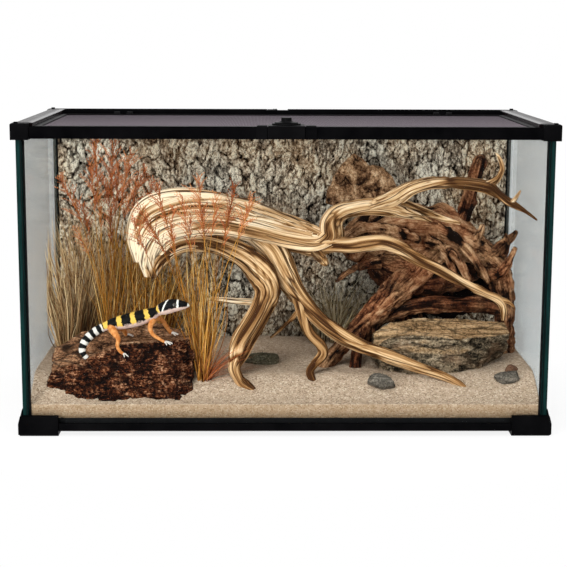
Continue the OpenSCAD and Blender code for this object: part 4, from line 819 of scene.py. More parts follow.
def limb(build, route, seed, sides=60, gap=2.4, groove=2.6, knots=0.07, cell=8.0, stretch=150.0, lumps=0.0,
         lump_size=14.0, tone=None, twist=0.003):
    """A grooved limb along a route of x, y, z, half width and half depth."""
    q, place = even_steps(route, gap)
    run, wide, deep = frames_along(q[:, :3])
    a = np.linspace(0, 2 * np.pi, sides, endpoint=False)
    sway = noise(np.stack([place / 70, place * 0 + seed, place * 0], axis=1))
    turn = a[None, :] + twist * place[:, None] + 0.35 * sway[:, None]
    radius = (q[:, 3] + q[:, 4]) / 2
    around = np.stack([np.cos(turn) * radius[:, None], np.sin(turn) * radius[:, None],
                       np.broadcast_to(place[:, None], turn.shape)], axis=-1)
    bend = 0.5 * noise(around / np.array(BEND_SIZE), 1.0, seed + 5)
    scaled = around / np.array([cell, cell, stretch]) + bend[..., None]
    strands = np.minimum(1, np.abs(noise(scaled, 1.0, seed)) * 3.0)
    threads = np.minimum(1, np.abs(noise(scaled * np.array(THREADS), 1.0, seed + 1)) * 2.4)
    cleft = smooth(np.abs(noise(scaled * np.array(CLEFTS), 1.0, seed + 3)) / 0.16)
    relief = strands * (0.6 + 0.4 * threads) * (0.2 + 0.8 * cleft) + 0.12 * cleft
    depth = np.minimum(groove, radius * 0.24)[:, None]
    r = 1 + knots * layered(around + seed * 31.0, 34.0, 2, seed + 2)
    skin = (q[:, None, :3] + wide[:, None, :] * (q[:, 3, None] * r * np.cos(a))[..., None]
            + deep[:, None, :] * (q[:, 4, None] * r * np.sin(a))[..., None])
    out = wide[:, None, :] * np.cos(a)[None, :, None] + deep[:, None, :] * np.sin(a)[None, :, None]
    skin = skin + out * (depth * (relief - 0.6 - 0.45 * (1 - cleft)))[..., None]
    if lumps:
        burl = layered(skin, lump_size, 3, seed + 9)
        burl = burl - 0.7 * np.abs(layered(skin, lump_size * 0.6, 2, seed + 12))
        skin = skin + out * (np.minimum(lumps, radius[:, None] * 0.3) * (burl + 0.15))[..., None]
        relief = np.clip(relief + 0.9 * burl, 0, 1)
    ends = np.stack([q[0, :3] - run[0] * q[0, 3] * 0.3, q[-1, :3] + run[-1] * q[-1, 3] * 0.6])
    end_grain = [[seed * 13.0, seed * 13.0, 0], [0, 0, place[-1]]]
    if tone is None:
        tone = lattice(np.int64(seed), np.int64(3), np.int64(7), 1)
    build.add(np.concatenate([skin.reshape(-1, 3), ends]), tube_faces(len(place), sides), tint=tone,
              grain=np.concatenate([around.reshape(-1, 3) + seed * 13.0, end_grain]),
              relief=np.append(relief.ravel(), [0.4, 0.4]))


def ropes(build, route, count, seed, size, reach, twist=0.003, **look):
    """Strands that wind round the route of a limb, half sunk in it."""
    q = flow(route, 4)
    s = length_along(q)
    run, wide, deep = frames_along(q[:, :3])
    for k in range(count):
        along = np.stack([s / 80, s * 0 + seed + k * 3, s * 0], axis=1)
        a = 2 * np.pi * k / count + twist * s + 0.5 * noise(along)
        strand = q.copy()
        strand[:, :3] += (wide * (q[:, 3] * reach * np.cos(a))[:, None]
                          + deep * (q[:, 4] * reach * np.sin(a))[:, None])
        strand[:, 3:] *= size * (1 + 0.28 * noise(along + 7.5))[:, None]
        limb(build, strand, seed + k, **look)


# Camera, lamps and backdrop

# The camera as fitted to the photograph: its place in metres, its turn in degrees, its focal length in pixels
CAMERA_PLACE = (-0.0275, -1.7343, 0.4523)
CAMERA_YAW, CAMERA_PITCH, CAMERA_ROLL = -0.89, -9.94, 0.213
FOCAL_PIXELS, PHOTO_PIXELS, SENSOR = 1456.3, 567, 36


def camera():
    lens = bpy.data.cameras.new("camera")
    lens.sensor_width = SENSOR
    lens.lens = SENSOR * FOCAL_PIXELS / PHOTO_PIXELS
    lens.clip_end = 20
    view = placed("camera", lens)
    view.matrix_world = (Matrix.Translation(CAMERA_PLACE)
                         @ Matrix.Rotation(math.radians(CAMERA_YAW), 4, "Z")
                         @ Matrix.Rotation(math.radians(90 + CAMERA_PITCH), 4, "X")
                         @ Matrix.Rotation(math.radians(CAMERA_ROLL), 4, "Z"))
    bpy.context.scene.camera = view


# Lamps: place, what each shines on, and width and height, all in metres, then power in watts
LAMPS = {
    "key": ((-0.7, -1.7, 1.8), (0, 0, 0.12), (1.0, 0.8), 36),
    "fill": ((1.3, -1.8, 0.8), (0, 0, 0.15), (1.2, 1.2), 10),
    "front": ((-1.5, -2.1, 0.55), (0, 0, 0.18), (0.8, 0.7), 44),
    "top": ((0.1, -0.1, 1.9), (0, 0, 0.1), (1.2, 0.8), 24),
}


def lamp(name, place, aim, size, power):
    """A rectangular soft box."""
    light = bpy.data.lights.new(name, "AREA")
    light.shape = "RECTANGLE"
    light.size, light.size_y = size
    light.energy = power
    place = np.array(place, float)
    ahead = np.array(aim, float) - place
    ahead /= np.linalg.norm(ahead)
    right = np.cross(ahead, (0, 0, 1))
    right /= np.linalg.norm(right)
    turned = np.stack([right, np.cross(right, ahead), -ahead, place], axis=1)
    placed(name, light).matrix_world = Matrix((*turned.tolist(), (0, 0, 0, 1)))


def white_world():
    """White where the camera, mirrors and glass look, and a plain grey as light."""
    f = Finish("studio", bpy.data.worlds, "OutputWorld")
    light = f.node("Background", {"Color": (0.95, 0.97, 1), "Strength": 0.4})
    white = f.node("Background", {"Color": (1, 1, 1), "Strength": 1.0})
    bpy.context.scene.world = f.done(f.node("MixShader", {0: f.seen(), 1: light, 2: white}))


# In metres, the floor's half width, how far it lies under the feet, and where its shadow starts to fade and
# ends; the shadow's depth is a share
FLOOR, FLOOR_GAP = 6.0, 0.0004
SHADOW_REACH, SHADOW_DEPTH = (0.30, 0.52), 0.16


def studio_floor():
    """A white floor that keeps a faint shadow near the tank."""
    f = Finish("studio_floor")
    lit = f.node("BsdfDiffuse", {"Color": (0.82, 0.82, 0.82)})
    white = f.node("Emission", {"Color": (1, 1, 1), "Strength": 1.0})
    reach = f.node("VectorMath", {0: f.place((1.0, 1.5, 0))}, out="Value", operation="LENGTH")
    near = 1 - reach.between(*SHADOW_REACH)
    share = (f.seen() * (1 - near * SHADOW_DEPTH)).clamped()
    mesh = bpy.data.meshes.new("studio_floor")
    corners = [(-FLOOR, -FLOOR, 0), (FLOOR, -FLOOR, 0), (FLOOR, FLOOR, 0), (-FLOOR, FLOOR, 0)]
    mesh.from_pydata(corners, [], [(0, 1, 2, 3)])
    mesh.materials.append(f.done(f.node("MixShader", {0: share, 1: lit, 2: white})))
    ground = placed("studio_floor", mesh)
    ground.location.z = -FLOOR_GAP


# Case

def dress(name, finish, round_edge):
    """Gives a CAD node its finish and, where wanted, rounded edges."""
    node = nodes[name]
    node.data.materials.clear()
    node.data.materials.append(FINISH[finish])
    if round_edge:
        weld = node.modifiers.new("weld", "WELD")
        weld.merge_threshold = 0.00001
        soft = node.modifiers.new("soft_edges", "BEVEL")
        soft.width = round_edge * MM
        soft.segments = 2
        soft.limit_method = "ANGLE"
        soft.angle_limit = math.radians(50)
        soft.harden_normals = False


def dress_frame():
    """The moulded frame, the lid and the small parts keep their CAD shape."""
    moulded = ("base_rail", "foot_", "corner_front", "corner_rear", "latch_guides", "cable_gate")
    for name in [n for n in nodes if n.startswith(moulded)]:
        dress(name, "moulded_plastic", MOULDED_EDGE)
    for side in ("left", "right"):
        dress("top_rail_" + side, "rail_plastic", MOULDED_EDGE)
    for side in ("front", "rear"):
        dress("top_rail_" + side, "matt_plastic", MOULDED_EDGE)
    for name in ("lid_frame", "screen_retainer", "latch_plate", "lock_seat", "lock_knob"):
        dress(name, "lid_plastic", MOULDED_EDGE)
    dress("hinge_pins", "black_steel", STEEL_EDGE)
    for name in ("lock_cam", "cam_screw"):
        dress(name, "zinc_steel", STEEL_EDGE)
    for name in ("corner_silicone", "floor_silicone"):
        dress(name, "black_silicone", 0)


def pane(name, low, high, finish, node):
    """A glass pane with ground edges, whose two large faces are clear."""
    low, high = np.array(low, float), np.array(high, float)
    thin = int(np.argmin(high - low))
    across = [k for k in range(3) if k != thin]
    points = []
    for depth, inset in ((0, GROUND_EDGE), (GROUND_EDGE, 0), (PANE - GROUND_EDGE, 0), (PANE, GROUND_EDGE)):
        for corner in ((0, 0), (1, 0), (1, 1), (0, 1)):
            p = low.copy()
            p[thin] = low[thin] + depth
            for axis, far in zip(across, corner):
                p[axis] = high[axis] - inset if far else low[axis] + inset
            points.append(p)
    faces = [(3, 2, 1, 0), (12, 13, 14, 15)]
    for i in range(0, 12, 4):
        faces += [(i + k, i + (k + 1) % 4, i + 4 + (k + 1) % 4, i + 4 + k) for k in range(4)]
    thing = piece(name, points, faces, [finish, "pane_edge"], slot="glass", shaded=False, replaces=(node,))
    for face in thing.data.polygons:
        face.material_index = 0 if abs(face.normal[thin]) > 0.95 else 1


def panes():
    low, high, slip = PANE_FOOT, PANE_TOP, 0.5
    x, y = INNER_X, INNER_Y
    end_x, end_y, short_x, short_y = x + PANE, y + PANE, x - slip, y - slip
    pane("pane_front", (-short_x, -end_y, low), (short_x, -y, high), "front_pane", "front_glass")
    pane("pane_rear", (-short_x, y, low), (short_x, end_y, high), "front_pane", "rear_glass")
    pane("pane_left", (-end_x, -end_y, low), (-x, end_y, high), "side_pane", "left_glass")
    pane("pane_right", (x, -end_y, low), (end_x, end_y, high), "side_pane", "right_glass")
    pane("pane_floor", (-short_x, -short_y, FLOOR_TOP - PANE), (short_x, short_y, FLOOR_TOP), "front_pane",
         "floor_glass")


def screen():
    """Fine wire cloth in a pressed band, with the wires of each direction passing over and under."""
    low, high = np.array(SCREEN_LOW), np.array(SCREEN_HIGH)
    sides = [(k, (k + 1) % 4, 4 + (k + 1) % 4, 4 + k) for k in range(4)]
    ends = [(3, 2, 1, 0), (4, 5, 6, 7)]
    build = Build()
    up = np.array([0, 0, WIRE_HALF * 0.8])
    middle = (low[2] + high[2]) / 2
    for axis, lift in ((0, WEAVE_LIFT), (1, -WEAVE_LIFT)):
        across = np.eye(3)[axis] * WIRE_HALF
        ring = [across, up, -across, -up]
        count = int((high[axis] - low[axis]) / WIRE_PITCH)
        for i in range(1, count):
            a, b = low.copy(), high.copy()
            a[axis] = b[axis] = low[axis] + (high[axis] - low[axis]) * i / count
            a[2] = b[2] = middle + lift
            build.add([a + r for r in ring] + [b + r for r in ring], sides + ends)
    (x0, y0, z0), (x1, y1, z1) = SCREEN_LOW, SCREEN_HIGH
    band = SCREEN_BAND
    strips = (((x0, y0), (x1, y0 + band)), ((x0, y1 - band), (x1, y1)),
              ((x0, y0 + band), (x0 + band, y1 - band)), ((x1 - band, y0 + band), (x1, y1 - band)))
    for a, b in strips:
        corners = [(a[0], a[1]), (b[0], a[1]), (b[0], b[1]), (a[0], b[1])]
        build.add([(x, y, z) for z in (z0, z1) for x, y in corners], ends + sides)
    build.make("wire_screen", "coated_wire", body="lid", slot="screen_wire", shaded=False,
               replaces=("screen_mesh",))


# Background, sand and stones

def background():
    """Bark panel in relief: tall plates parted by cracks that wander, split across by finer ones."""
    columns, rows = 440, 240
    X, Z = np.meshgrid(np.linspace(-PANEL_X, PANEL_X, columns), np.linspace(PANEL_Z0, PANEL_Z1, rows))
    flat = np.stack([X, Z, X * 0], axis=-1)
    warp = np.stack([layered(flat, 34, 5, 3, 0.6), layered(flat, 34, 5, 9, 0.6)], axis=-1)
    p = np.stack([X, Z], axis=-1) + warp * np.array([12, 18])
    near, second, tag = cells(p / np.array(BARK_PLATE), 21)
    plates = smooth((second - near) / BARK_CRACK)
    near, second, small_tag = cells(p / np.array(BARK_CHIP), 47)
    splits = smooth((second - near) / BARK_CRACK)
    rugged = layered(flat * np.array([1, 0.6, 1]), 7, 3, 33)
    chips = 0.5 + 0.5 * splits * (0.6 + 0.4 * small_tag)
    relief = np.clip(plates * (0.5 + 0.45 * tag) * chips + 0.18 * rugged, 0, 1)
    front = np.stack([X, PANEL_BACK - PANEL_CORE - BARK_RELIEF * relief, Z], axis=-1).reshape(-1, 3)
    rim = grid_rim(rows, columns)
    back = front[rim].copy()
    back[:, 1] = PANEL_BACK
    n, m = len(front), len(rim)
    foot = range(n, n + m)
    faces = grid_faces(rows, columns) + wall_faces(rim, foot) + [tuple(foot)]
    # Painted shade: darker low on the panel, from the middle to the right, behind the wood and the stump;
    # random mottling lies over all of it
    dark = smooth((150 - Z) / 130) * smooth((X + 120) / 120) * (1 - smooth((X - 250) / 60))
    patch = np.clip(dark * 0.6 + 0.35 * layered(flat, 60, 3, 71), -0.4, 1)
    piece("bark_background", np.concatenate([front, back]), faces, "bark_panel", slot="bark_background",
          replaces=("background_panel",), relief=np.append(relief.ravel(), np.zeros(m)),
          patch=np.append(patch.ravel(), np.zeros(m)))


def sand():
    """The bed of sand, ripples and all, with its face against the front glass."""
    columns, rows = 330, 170
    t = np.linspace(0, 1, rows)
    X, Y = np.meshgrid(np.linspace(-SAND_X, SAND_X, columns),
                       SAND_Y0 + (SAND_Y1 - SAND_Y0) * (0.6 * t + 0.4 * t ** 2))
    flat = np.stack([X, Y, X * 0], axis=-1)
    Z = sand_at(X, Y) + 0.45 * layered(flat, 22, 3, 5) + 0.3 * layered(flat, 5, 3, 6)
    ripples = layered(flat * np.array([0.4, 1, 1]), 30, 2, 12)
    Z = Z + 0.7 * smooth((Y + INNER_Y) / 6) * ripples * smooth((-90 - Y) / 20)
    top = np.stack([X, Y, Z], axis=-1).reshape(-1, 3)
    rim = grid_rim(rows, columns)
    n, m = len(top), len(rim)
    cut, foot = top[rim].copy(), top[rim].copy()
    cut[:, 2] -= 1.2
    foot[:, 2] = FLOOR_TOP
    upper, lower = range(n, n + m), range(n + m, n + 2 * m)
    faces = grid_faces(rows, columns) + wall_faces(rim, upper) + wall_faces(upper, lower) + [tuple(lower)]
    piece("sand", np.concatenate([top, cut, foot]), faces, "desert_sand", slot="sand", replaces=("sand_bed",),
          top=np.concatenate([np.ones(n), np.full(m, 0.35), np.zeros(m)]))


# Crowns and feet of the two rocks, in order round each: x, y and z
LEFT_TOP = [(-266, -104, 66), (-232, -110, 79), (-206, -112, 91), (-186, -111, 99), (-160, -112, 101),
            (-130, -106, 102), (-106, -90, 100), (-112, -62, 101), (-152, -34, 107), (-200, -32, 102),
            (-240, -38, 96), (-270, -66, 84)]
LEFT_FOOT = [(-274, -112, 40), (-240, -127, 25), (-208, -134, 22), (-182, -135, 22), (-156, -135, 22),
             (-124, -134, 22), (-104, -112, 30), (-104, -66, 34), (-146, -32, 36), (-200, -28, 36),
             (-246, -34, 36), (-280, -70, 38)]
RIGHT_TOP = [(105, -58, 80), (118, -66, 94), (140, -64, 101), (172, -68, 98), (206, -71, 95), (240, -66, 97),
             (271, -50, 98), (278, -18, 103), (238, -6, 106), (180, -8, 107), (128, -22, 106),
             (107, -40, 96)]
RIGHT_FOOT = [(110, -34, 42), (121, -64, 36), (146, -89, 32), (176, -92, 32), (199, -86, 34), (222, -54, 44),
              (246, -26, 50), (264, 2, 54), (238, 6, 50), (180, 2, 48), (128, 2, 46), (107, -8, 46)]


def boulder(name, foot, crown, finish, slot, node, seed, bulges, chunk, rough=2.1):
    """A rock between a foot ring and a crown ring, split into small faces and broken up by noise."""
    foot, crown = np.array(foot, float), np.array(crown, float)
    rings = [foot]
    for t, bulge in bulges:
        middle = (foot[:, :2] + (crown - foot)[:, :2] * t).mean(0)
        ring = foot + (crown - foot) * t
        ring[:, :2] += (ring[:, :2] - middle) * bulge
        rings.append(ring)
    rings.append(crown)
    points = np.concatenate(rings + [foot.mean(0)[None], crown.mean(0)[None]])
    mesh = bpy.data.meshes.new(name + "_rough")
    mesh.from_pydata(points.tolist(), [], tube_faces(len(rings), len(foot)))
    work = bmesh.new()
    work.from_mesh(mesh)
    split_long(work, ROCK_GRAIN, 5, use_grid_fill=True)
    bmesh.ops.recalc_face_normals(work, faces=work.faces)
    work.normal_update()
    p, faces = points_and_faces(work)
    d = np.array([v.normal[:] for v in work.verts])
    work.free()
    bpy.data.meshes.remove(mesh)
    steps = layered(p * np.array([0.5, 0.5, 1.6]), 16, 3, seed)
    chips = np.abs(layered(p, 11, 3, seed + 3))
    grit = layered(p, 4, 2, seed + 8)
    shape = rough * (1.5 * layered(p, 34, 2, seed + 1) + 1.4 * np.round(steps * 4) / 4
                     - 1.8 * chips + 0.6 * grit)
    top = smooth((d[:, 2] + 0.22 * layered(p, 14, 3, seed + 5) - 0.45) / 0.25)
    wander = np.stack([layered(p, 20, 2, seed + 6), layered(p, 20, 2, seed + 7)], 1)
    across = p[:, [0, 2]] + p[:, 1:2] * 0.4 + 5 * wander
    near, second, tag = cells(across / np.array(chunk, float), seed)
    solid = smooth((second - near) / 0.16)
    shape = shape + rough * (1 - 0.7 * top) * (2.2 * (tag - 0.5) * solid - 1.3 * (1 - solid))
    p = p + d * (shape * (1 - 0.55 * top))[:, None]
    low = np.array([foot[:, 0].min() - 2, -139.0, 19.0])
    high = np.array([foot[:, 0].max() + 2, 120, crown[:, 2].max() + 2.5])
    piece(name, np.clip(p, low, high), faces, finish, slot=slot, outward=False, replaces=(node,),
          top=top, solid=solid)


def rocks():
    boulder("basking_rock", LEFT_FOOT, LEFT_TOP, "rock_red", "red_rock", "left_rock", 11,
            [(0.45, 0.02), (0.85, 0.015)], (30, 17))
    boulder("layered_rock", RIGHT_FOOT, RIGHT_TOP, "rock_grey", "grey_rock", "right_rock", 61,
            [(0.4, 0.03), (0.7, 0.05), (0.8, -0.03), (0.86, 0.05)], (42, 11))


# Each stone's x and y, length, depth and height, turn in degrees, tint, and how sharply it is cut
STONES = [(-26, -22, 54, 26, 25, 4, 0.1, 0.55), (112, -103, 34, 22, 27, -12, 0.5, 1.0),
          (258, -98, 38, 22, 24, 8, 0.5, 1.0), (266, -77, 22, 14, 12, 20, 0.9, 0.8)]


def pebbles():
    """Four loose stones, half sunk in the sand."""
    build = Build()
    rings, sides, cuts = 26, 36, 13
    whole = ball(rings, sides, 88)
    for i, (x, y, length, depth, height, turn, tint, edge) in enumerate(STONES):
        rng = np.random.default_rng(90 + i)
        planes = rng.normal(0, 1, (cuts, 3))
        planes /= np.linalg.norm(planes, axis=1, keepdims=True)
        facing = np.maximum(whole @ planes.T, 0.05)
        cut = (rng.uniform(0.52, 0.8, cuts) / facing).min(axis=-1)
        r = 1 - edge * (1 - np.minimum(cut, 1)) + 0.05 * layered(whole * 3 + i * 5, 1.0, 3, 80 + i)
        p = whole * r[..., None] * np.array([length, depth, height]) / 2
        c, s = math.cos(math.radians(turn)), math.sin(math.radians(turn))
        p = np.stack([p[..., 0] * c - p[..., 1] * s, p[..., 0] * s + p[..., 1] * c, p[..., 2]], axis=-1)
        centre = np.array([x, y, sand_at(np.float64(x), np.float64(y)) + 0.12 * height])
        ends = centre + np.array([[0, 0, -height / 2], [0, 0, height / 2]]) * 0.98
        build.add(np.concatenate([p.reshape(-1, 3) + centre, ends]), tube_faces(rings, sides), tint=tint)
    build.make("loose_stones", "river_stone", slot="pebble", replaces=("pebbles",))


# Wood

# Routes of the driftwood's limbs: x, y, z, half width and half depth at each point, and their tones
TRUNK = {
    "top": [(-171, 4, 176, 9, 12), (-175, 4, 208, 13, 14), (-163, 2, 235, 15, 16), (-130, -2, 247, 15, 17),
            (-90, -4, 245, 15, 17), (-48, -6, 237, 14, 16), (-8, -8, 225, 13, 15), (26, -12, 213, 12, 13),
            (48, -14, 205, 9, 11)],
    "middle": [(-158, -8, 160, 8, 10), (-160, -10, 190, 13, 13), (-144, -13, 213, 13, 15),
               (-110, -17, 222, 13, 15), (-70, -20, 221, 13, 15), (-34, -22, 213, 12, 15),
               (2, -23, 203, 12, 13), (34, -22, 198, 11, 12), (54, -19, 203, 9, 10)],
    "core": [(-168, 0, 176, 8, 10), (-170, 0, 204, 10, 12), (-152, -3, 226, 11, 13), (-112, -6, 236, 11, 13),
             (-72, -9, 234, 11, 13), (-34, -12, 226, 11, 13), (0, -14, 215, 10, 12), (32, -17, 206, 9, 11)],
}
LEGS = {
    "arch": [(-157, -10, 158, 4, 7), (-149, -12, 178, 8, 9), (-130, -16, 195, 10, 10),
             (-108, -20, 201, 10, 11), (-76, -27, 198, 11, 12), (-48, -35, 187, 13, 13),
             (-28, -43, 168, 16, 13), (-20, -50, 150, 15, 12), (-26, -57, 132, 12, 11),
             (-37, -66, 113, 12, 10), (-47, -74, 97, 12, 10), (-53, -82, 83, 11, 9), (-58, -91, 66, 7, 6),
             (-53, -97, 54, 6, 6), (-46, -102, 47, 7, 6), (-34, -108, 40, 5, 4)],
    "ribbon": [(-36, -18, 212, 12, 12), (-14, -24, 194, 15, 13), (0, -31, 168, 14, 12),
               (12, -37, 148, 11, 11), (24, -43, 132, 10, 9), (44, -51, 112, 9, 8), (66, -60, 97, 9, 8),
               (88, -68, 87, 8, 7), (110, -76, 80, 7, 7), (132, -84, 73, 7, 6), (154, -91, 66, 6, 5),
               (178, -97, 59, 5, 4), (198, -103, 51, 4, 3), (208, -106, 44, 3, 2)],
    "middle_leg": [(14, -40, 142, 6, 6), (22, -47, 117, 6, 6), (30, -55, 99, 6, 6), (43, -63, 86, 6, 6),
                   (45, -70, 76, 6, 6), (34, -78, 66, 5, 5), (29, -86, 58, 5, 5), (35, -95, 46, 4, 4)],
    "knee": [(14, -18, 203, 10, 12), (38, -19, 199, 12, 13), (55, -18, 208, 13, 13), (56, -16, 224, 12, 12),
             (65, -14, 236, 10, 11), (83, -12, 241, 9, 10), (105, -12, 243, 9, 10), (127, -12, 240, 8, 9),
             (146, -12, 235, 6, 6), (162, -10, 231, 4, 4), (176, -8, 225, 1, 1)],
    "lower": [(44, -20, 200, 10, 11), (60, -22, 200, 9, 10), (79, -24, 199, 9, 9), (100, -27, 202, 9, 9),
              (119, -30, 203, 8, 8), (138, -34, 196, 8, 8), (160, -38, 183, 8, 7), (183, -42, 172, 7, 7),
              (208, -46, 159, 6, 6), (236, -48, 146, 5, 5), (253, -50, 138, 5, 5), (259, -50, 127, 4, 4),
              (258, -49, 113, 2, 2)],
    "upper": [(100, -14, 243, 7, 9), (113, -13, 247, 9, 10), (130, -12, 253, 10, 10), (150, -13, 265, 8, 9),
              (174, -16, 272, 7, 8), (198, -21, 273, 7, 7), (221, -27, 272, 7, 7), (241, -34, 268, 7, 7),
              (258, -60, 256, 5, 5), (273, -84, 248, 3, 3), (284, -104, 240, 1.5, 1.5)],
}
TWIGS = {
    "back_twig": [(20, -41, 128, 3, 3), (9, -35, 112, 2.5, 2.5), (-4, -28, 98, 2, 2),
                  (-16, -20, 86, 1.5, 1.5)],
    "side_stub": [(-18, -52, 134, 5, 5), (-36, -47, 134, 4, 4), (-58, -44, 135, 3.5, 3.5),
                  (-87, -40, 137, 2.5, 2.5)],
    "horn": [(234, -31, 269, 5, 5), (249, -30, 278, 4, 4), (256, -27, 291, 3, 3), (253, -23, 303, 2, 2),
             (249, -21, 308, 1, 1)],
    "shoulder": [(122, -12, 248, 7, 8), (142, -4, 246, 6, 7), (160, 0, 239, 5, 6), (178, 2, 232, 4, 5),
                 (196, 2, 226, 3, 3), (212, 2, 222, 2, 2)],
    "spur": [(262, -66, 254, 3, 3), (266, -72, 262, 2, 2), (269, -78, 270, 1, 1)],
    "hook_fork": [(250, -50, 140, 3, 3), (262, -54, 137, 2.5, 2.5), (270, -58, 131, 1.5, 1.5)],
    "knot": [(92, -11, 241, 1, 1), (103, -16, 245, 5, 5), (115, -18, 250, 7, 6), (128, -16, 255, 5, 5),
             (142, -12, 262, 1, 1)],
    "fallen_nub": [(36, -24, 192, 6, 7), (44, -28, 184, 6, 6), (50, -30, 176, 3, 3)],
}
LEG_TONE = {"arch": -0.35, "ribbon": 0.1, "middle_leg": -0.1, "knee": 0.25, "lower": 0.15, "upper": 0.1}
TWIG_TONE = {"fallen_nub": -0.4, "back_twig": 0.2, "knot": 0.3}


def driftwood():
    """Pale driftwood: a trunk of wound strands on two legs, with arms that reach right."""
    build = Build()
    for i, route in enumerate(TRUNK.values()):
        limb(build, route, 3 + i, sides=72, groove=2.4, cell=9, stretch=300, tone=0.6)
        ropes(build, route, 2, 40 + 10 * i, 0.68, 0.45, sides=48, groove=2.2, cell=7, stretch=300)
    for i, (name, route) in enumerate(LEGS.items()):
        look = {"stretch": 260, "tone": LEG_TONE[name]}
        limb(build, route, 11 + i, sides=64, groove=2.8, cell=7, **look)
        if name in ("arch", "ribbon", "knee"):
            ropes(build, route, 2, 90 + 10 * i, 0.66, 0.45, sides=40, groove=1.8, cell=6, **look)
    for i, (name, route) in enumerate(TWIGS.items()):
        limb(build, route, 31 + i, sides=24, gap=1.6, groove=1.0, cell=4, stretch=80,
             tone=TWIG_TONE.get(name, 0.55))
    build.make("driftwood_strands", "pale_wood", slot="driftwood", replaces=("driftwood",))


# Routes of the stump's limbs, their tones, and the routes of its broken twigs
STUMP = {
    "body": [(84, 62, 172, 18, 17), (98, 64, 190, 28, 24), (126, 66, 200, 35, 26), (160, 66, 202, 37, 27),
             (196, 64, 196, 36, 27), (226, 58, 184, 31, 24), (250, 50, 172, 21, 19), (262, 44, 162, 13, 14)],
    "lower": [(112, 54, 168, 16, 16), (132, 54, 158, 25, 22), (158, 52, 150, 29, 24), (188, 50, 150, 29, 25),
              (216, 50, 158, 23, 22), (242, 48, 162, 16, 17)],
    "root": [(190, 50, 174, 20, 18), (160, 36, 150, 20, 15), (128, 16, 126, 16, 12), (99, -6, 103, 12, 10),
             (74, -22, 80, 10, 9), (56, -32, 62, 9, 9), (46, -38, 44, 10, 9)],
    "toe": [(100, -4, 104, 8, 8), (92, -22, 84, 7, 7), (86, -38, 66, 7, 6), (84, -46, 46, 7, 6)],
    "bar": [(108, 20, 92, 7, 7), (122, 20, 103, 8, 8), (146, 20, 112, 8, 8), (176, 21, 118, 9, 8),
            (210, 21, 118, 9, 8), (244, 21, 118, 9, 8), (266, 20, 114, 8, 8)],
    "heel": [(112, 22, 94, 8, 8), (104, 30, 76, 10, 9), (102, 34, 46, 13, 11)],
    "trunk": [(246, 50, 178, 16, 16), (264, 36, 164, 12, 12), (270, 26, 145, 12, 11), (272, 22, 122, 12, 11),
              (272, 20, 98, 12, 12), (271, 22, 72, 13, 13), (270, 24, 42, 15, 14)],
    "spike": [(250, 44, 172, 14, 13), (264, 34, 184, 10, 10), (274, 22, 198, 6, 6), (281, 10, 210, 3, 3)],
    "post": [(206, 62, 168, 14, 12), (212, 62, 192, 13, 11), (221, 62, 214, 11, 10), (230, 62, 240, 10, 9),
             (237, 62, 268, 9, 9), (243, 62, 290, 8.5, 8), (246, 62, 298, 4, 4)],
    "back": [(150, 66, 182, 20, 18), (156, 72, 130, 18, 14), (160, 76, 90, 19, 14), (162, 76, 44, 23, 15)],
    "inner": [(132, 74, 140, 16, 12), (168, 76, 126, 27, 14), (206, 76, 122, 30, 14), (240, 72, 126, 26, 14),
              (262, 62, 128, 14, 12)],
    "crest": [(190, 50, 214, 9, 9), (206, 36, 204, 8, 8), (224, 26, 186, 6, 6), (240, 20, 164, 5, 5),
              (250, 16, 146, 3, 3)],
}
# The inner limb lies deep in the stump's hollow; its nearly black tone is painted shade
STUMP_TONE = {"inner": -0.9, "body": 0.72, "lower": 0.2, "post": 0.1, "trunk": 0.2, "toe": 0.1, "back": 0.1,
              "crest": 0.8}
STUMP_TWIGS = [
    [(84, 48, 196, 9, 8), (96, 40, 206, 10, 8), (116, 34, 210, 9, 8), (140, 30, 206, 8, 7),
     (166, 26, 198, 5, 5)],
    [(176, 40, 196, 8, 8), (190, 34, 190, 7, 7), (200, 26, 178, 6, 6), (206, 22, 164, 5, 5),
     (214, 18, 150, 3, 3)],
    [(196, 34, 178, 7, 7), (204, 24, 184, 6, 6), (212, 16, 176, 5, 5), (222, 10, 158, 4.5, 4.5),
     (228, 8, 146, 3, 3)],
    [(232, 40, 190, 7, 7), (240, 34, 204, 5, 5), (244, 30, 216, 3, 3)],
    [(136, 34, 142, 6, 6), (120, 16, 124, 5, 5), (112, 2, 104, 5, 5), (110, -12, 84, 4, 4),
     (112, -24, 64, 3, 3)],
    [(244, 40, 160, 8, 8), (254, 26, 154, 8, 8), (264, 16, 158, 7, 7), (272, 8, 172, 5, 5),
     (280, 4, 192, 2, 2)],
    [(262, 36, 172, 6, 6), (270, 26, 182, 5, 5), (272, 16, 196, 3, 3), (268, 8, 208, 1.5, 1.5)],
    [(256, 34, 158, 6, 6), (258, 22, 138, 5, 5), (262, 14, 112, 5, 5), (264, 10, 84, 5, 5),
     (264, 10, 56, 5, 5)],
    [(236, 62, 246, 4, 4), (228, 58, 258, 3, 3), (224, 56, 268, 1.5, 1.5)],
    [(118, 38, 168, 7, 7), (98, 30, 166, 5, 5), (78, 22, 158, 3.5, 3.5), (64, 16, 148, 2, 2)],
]


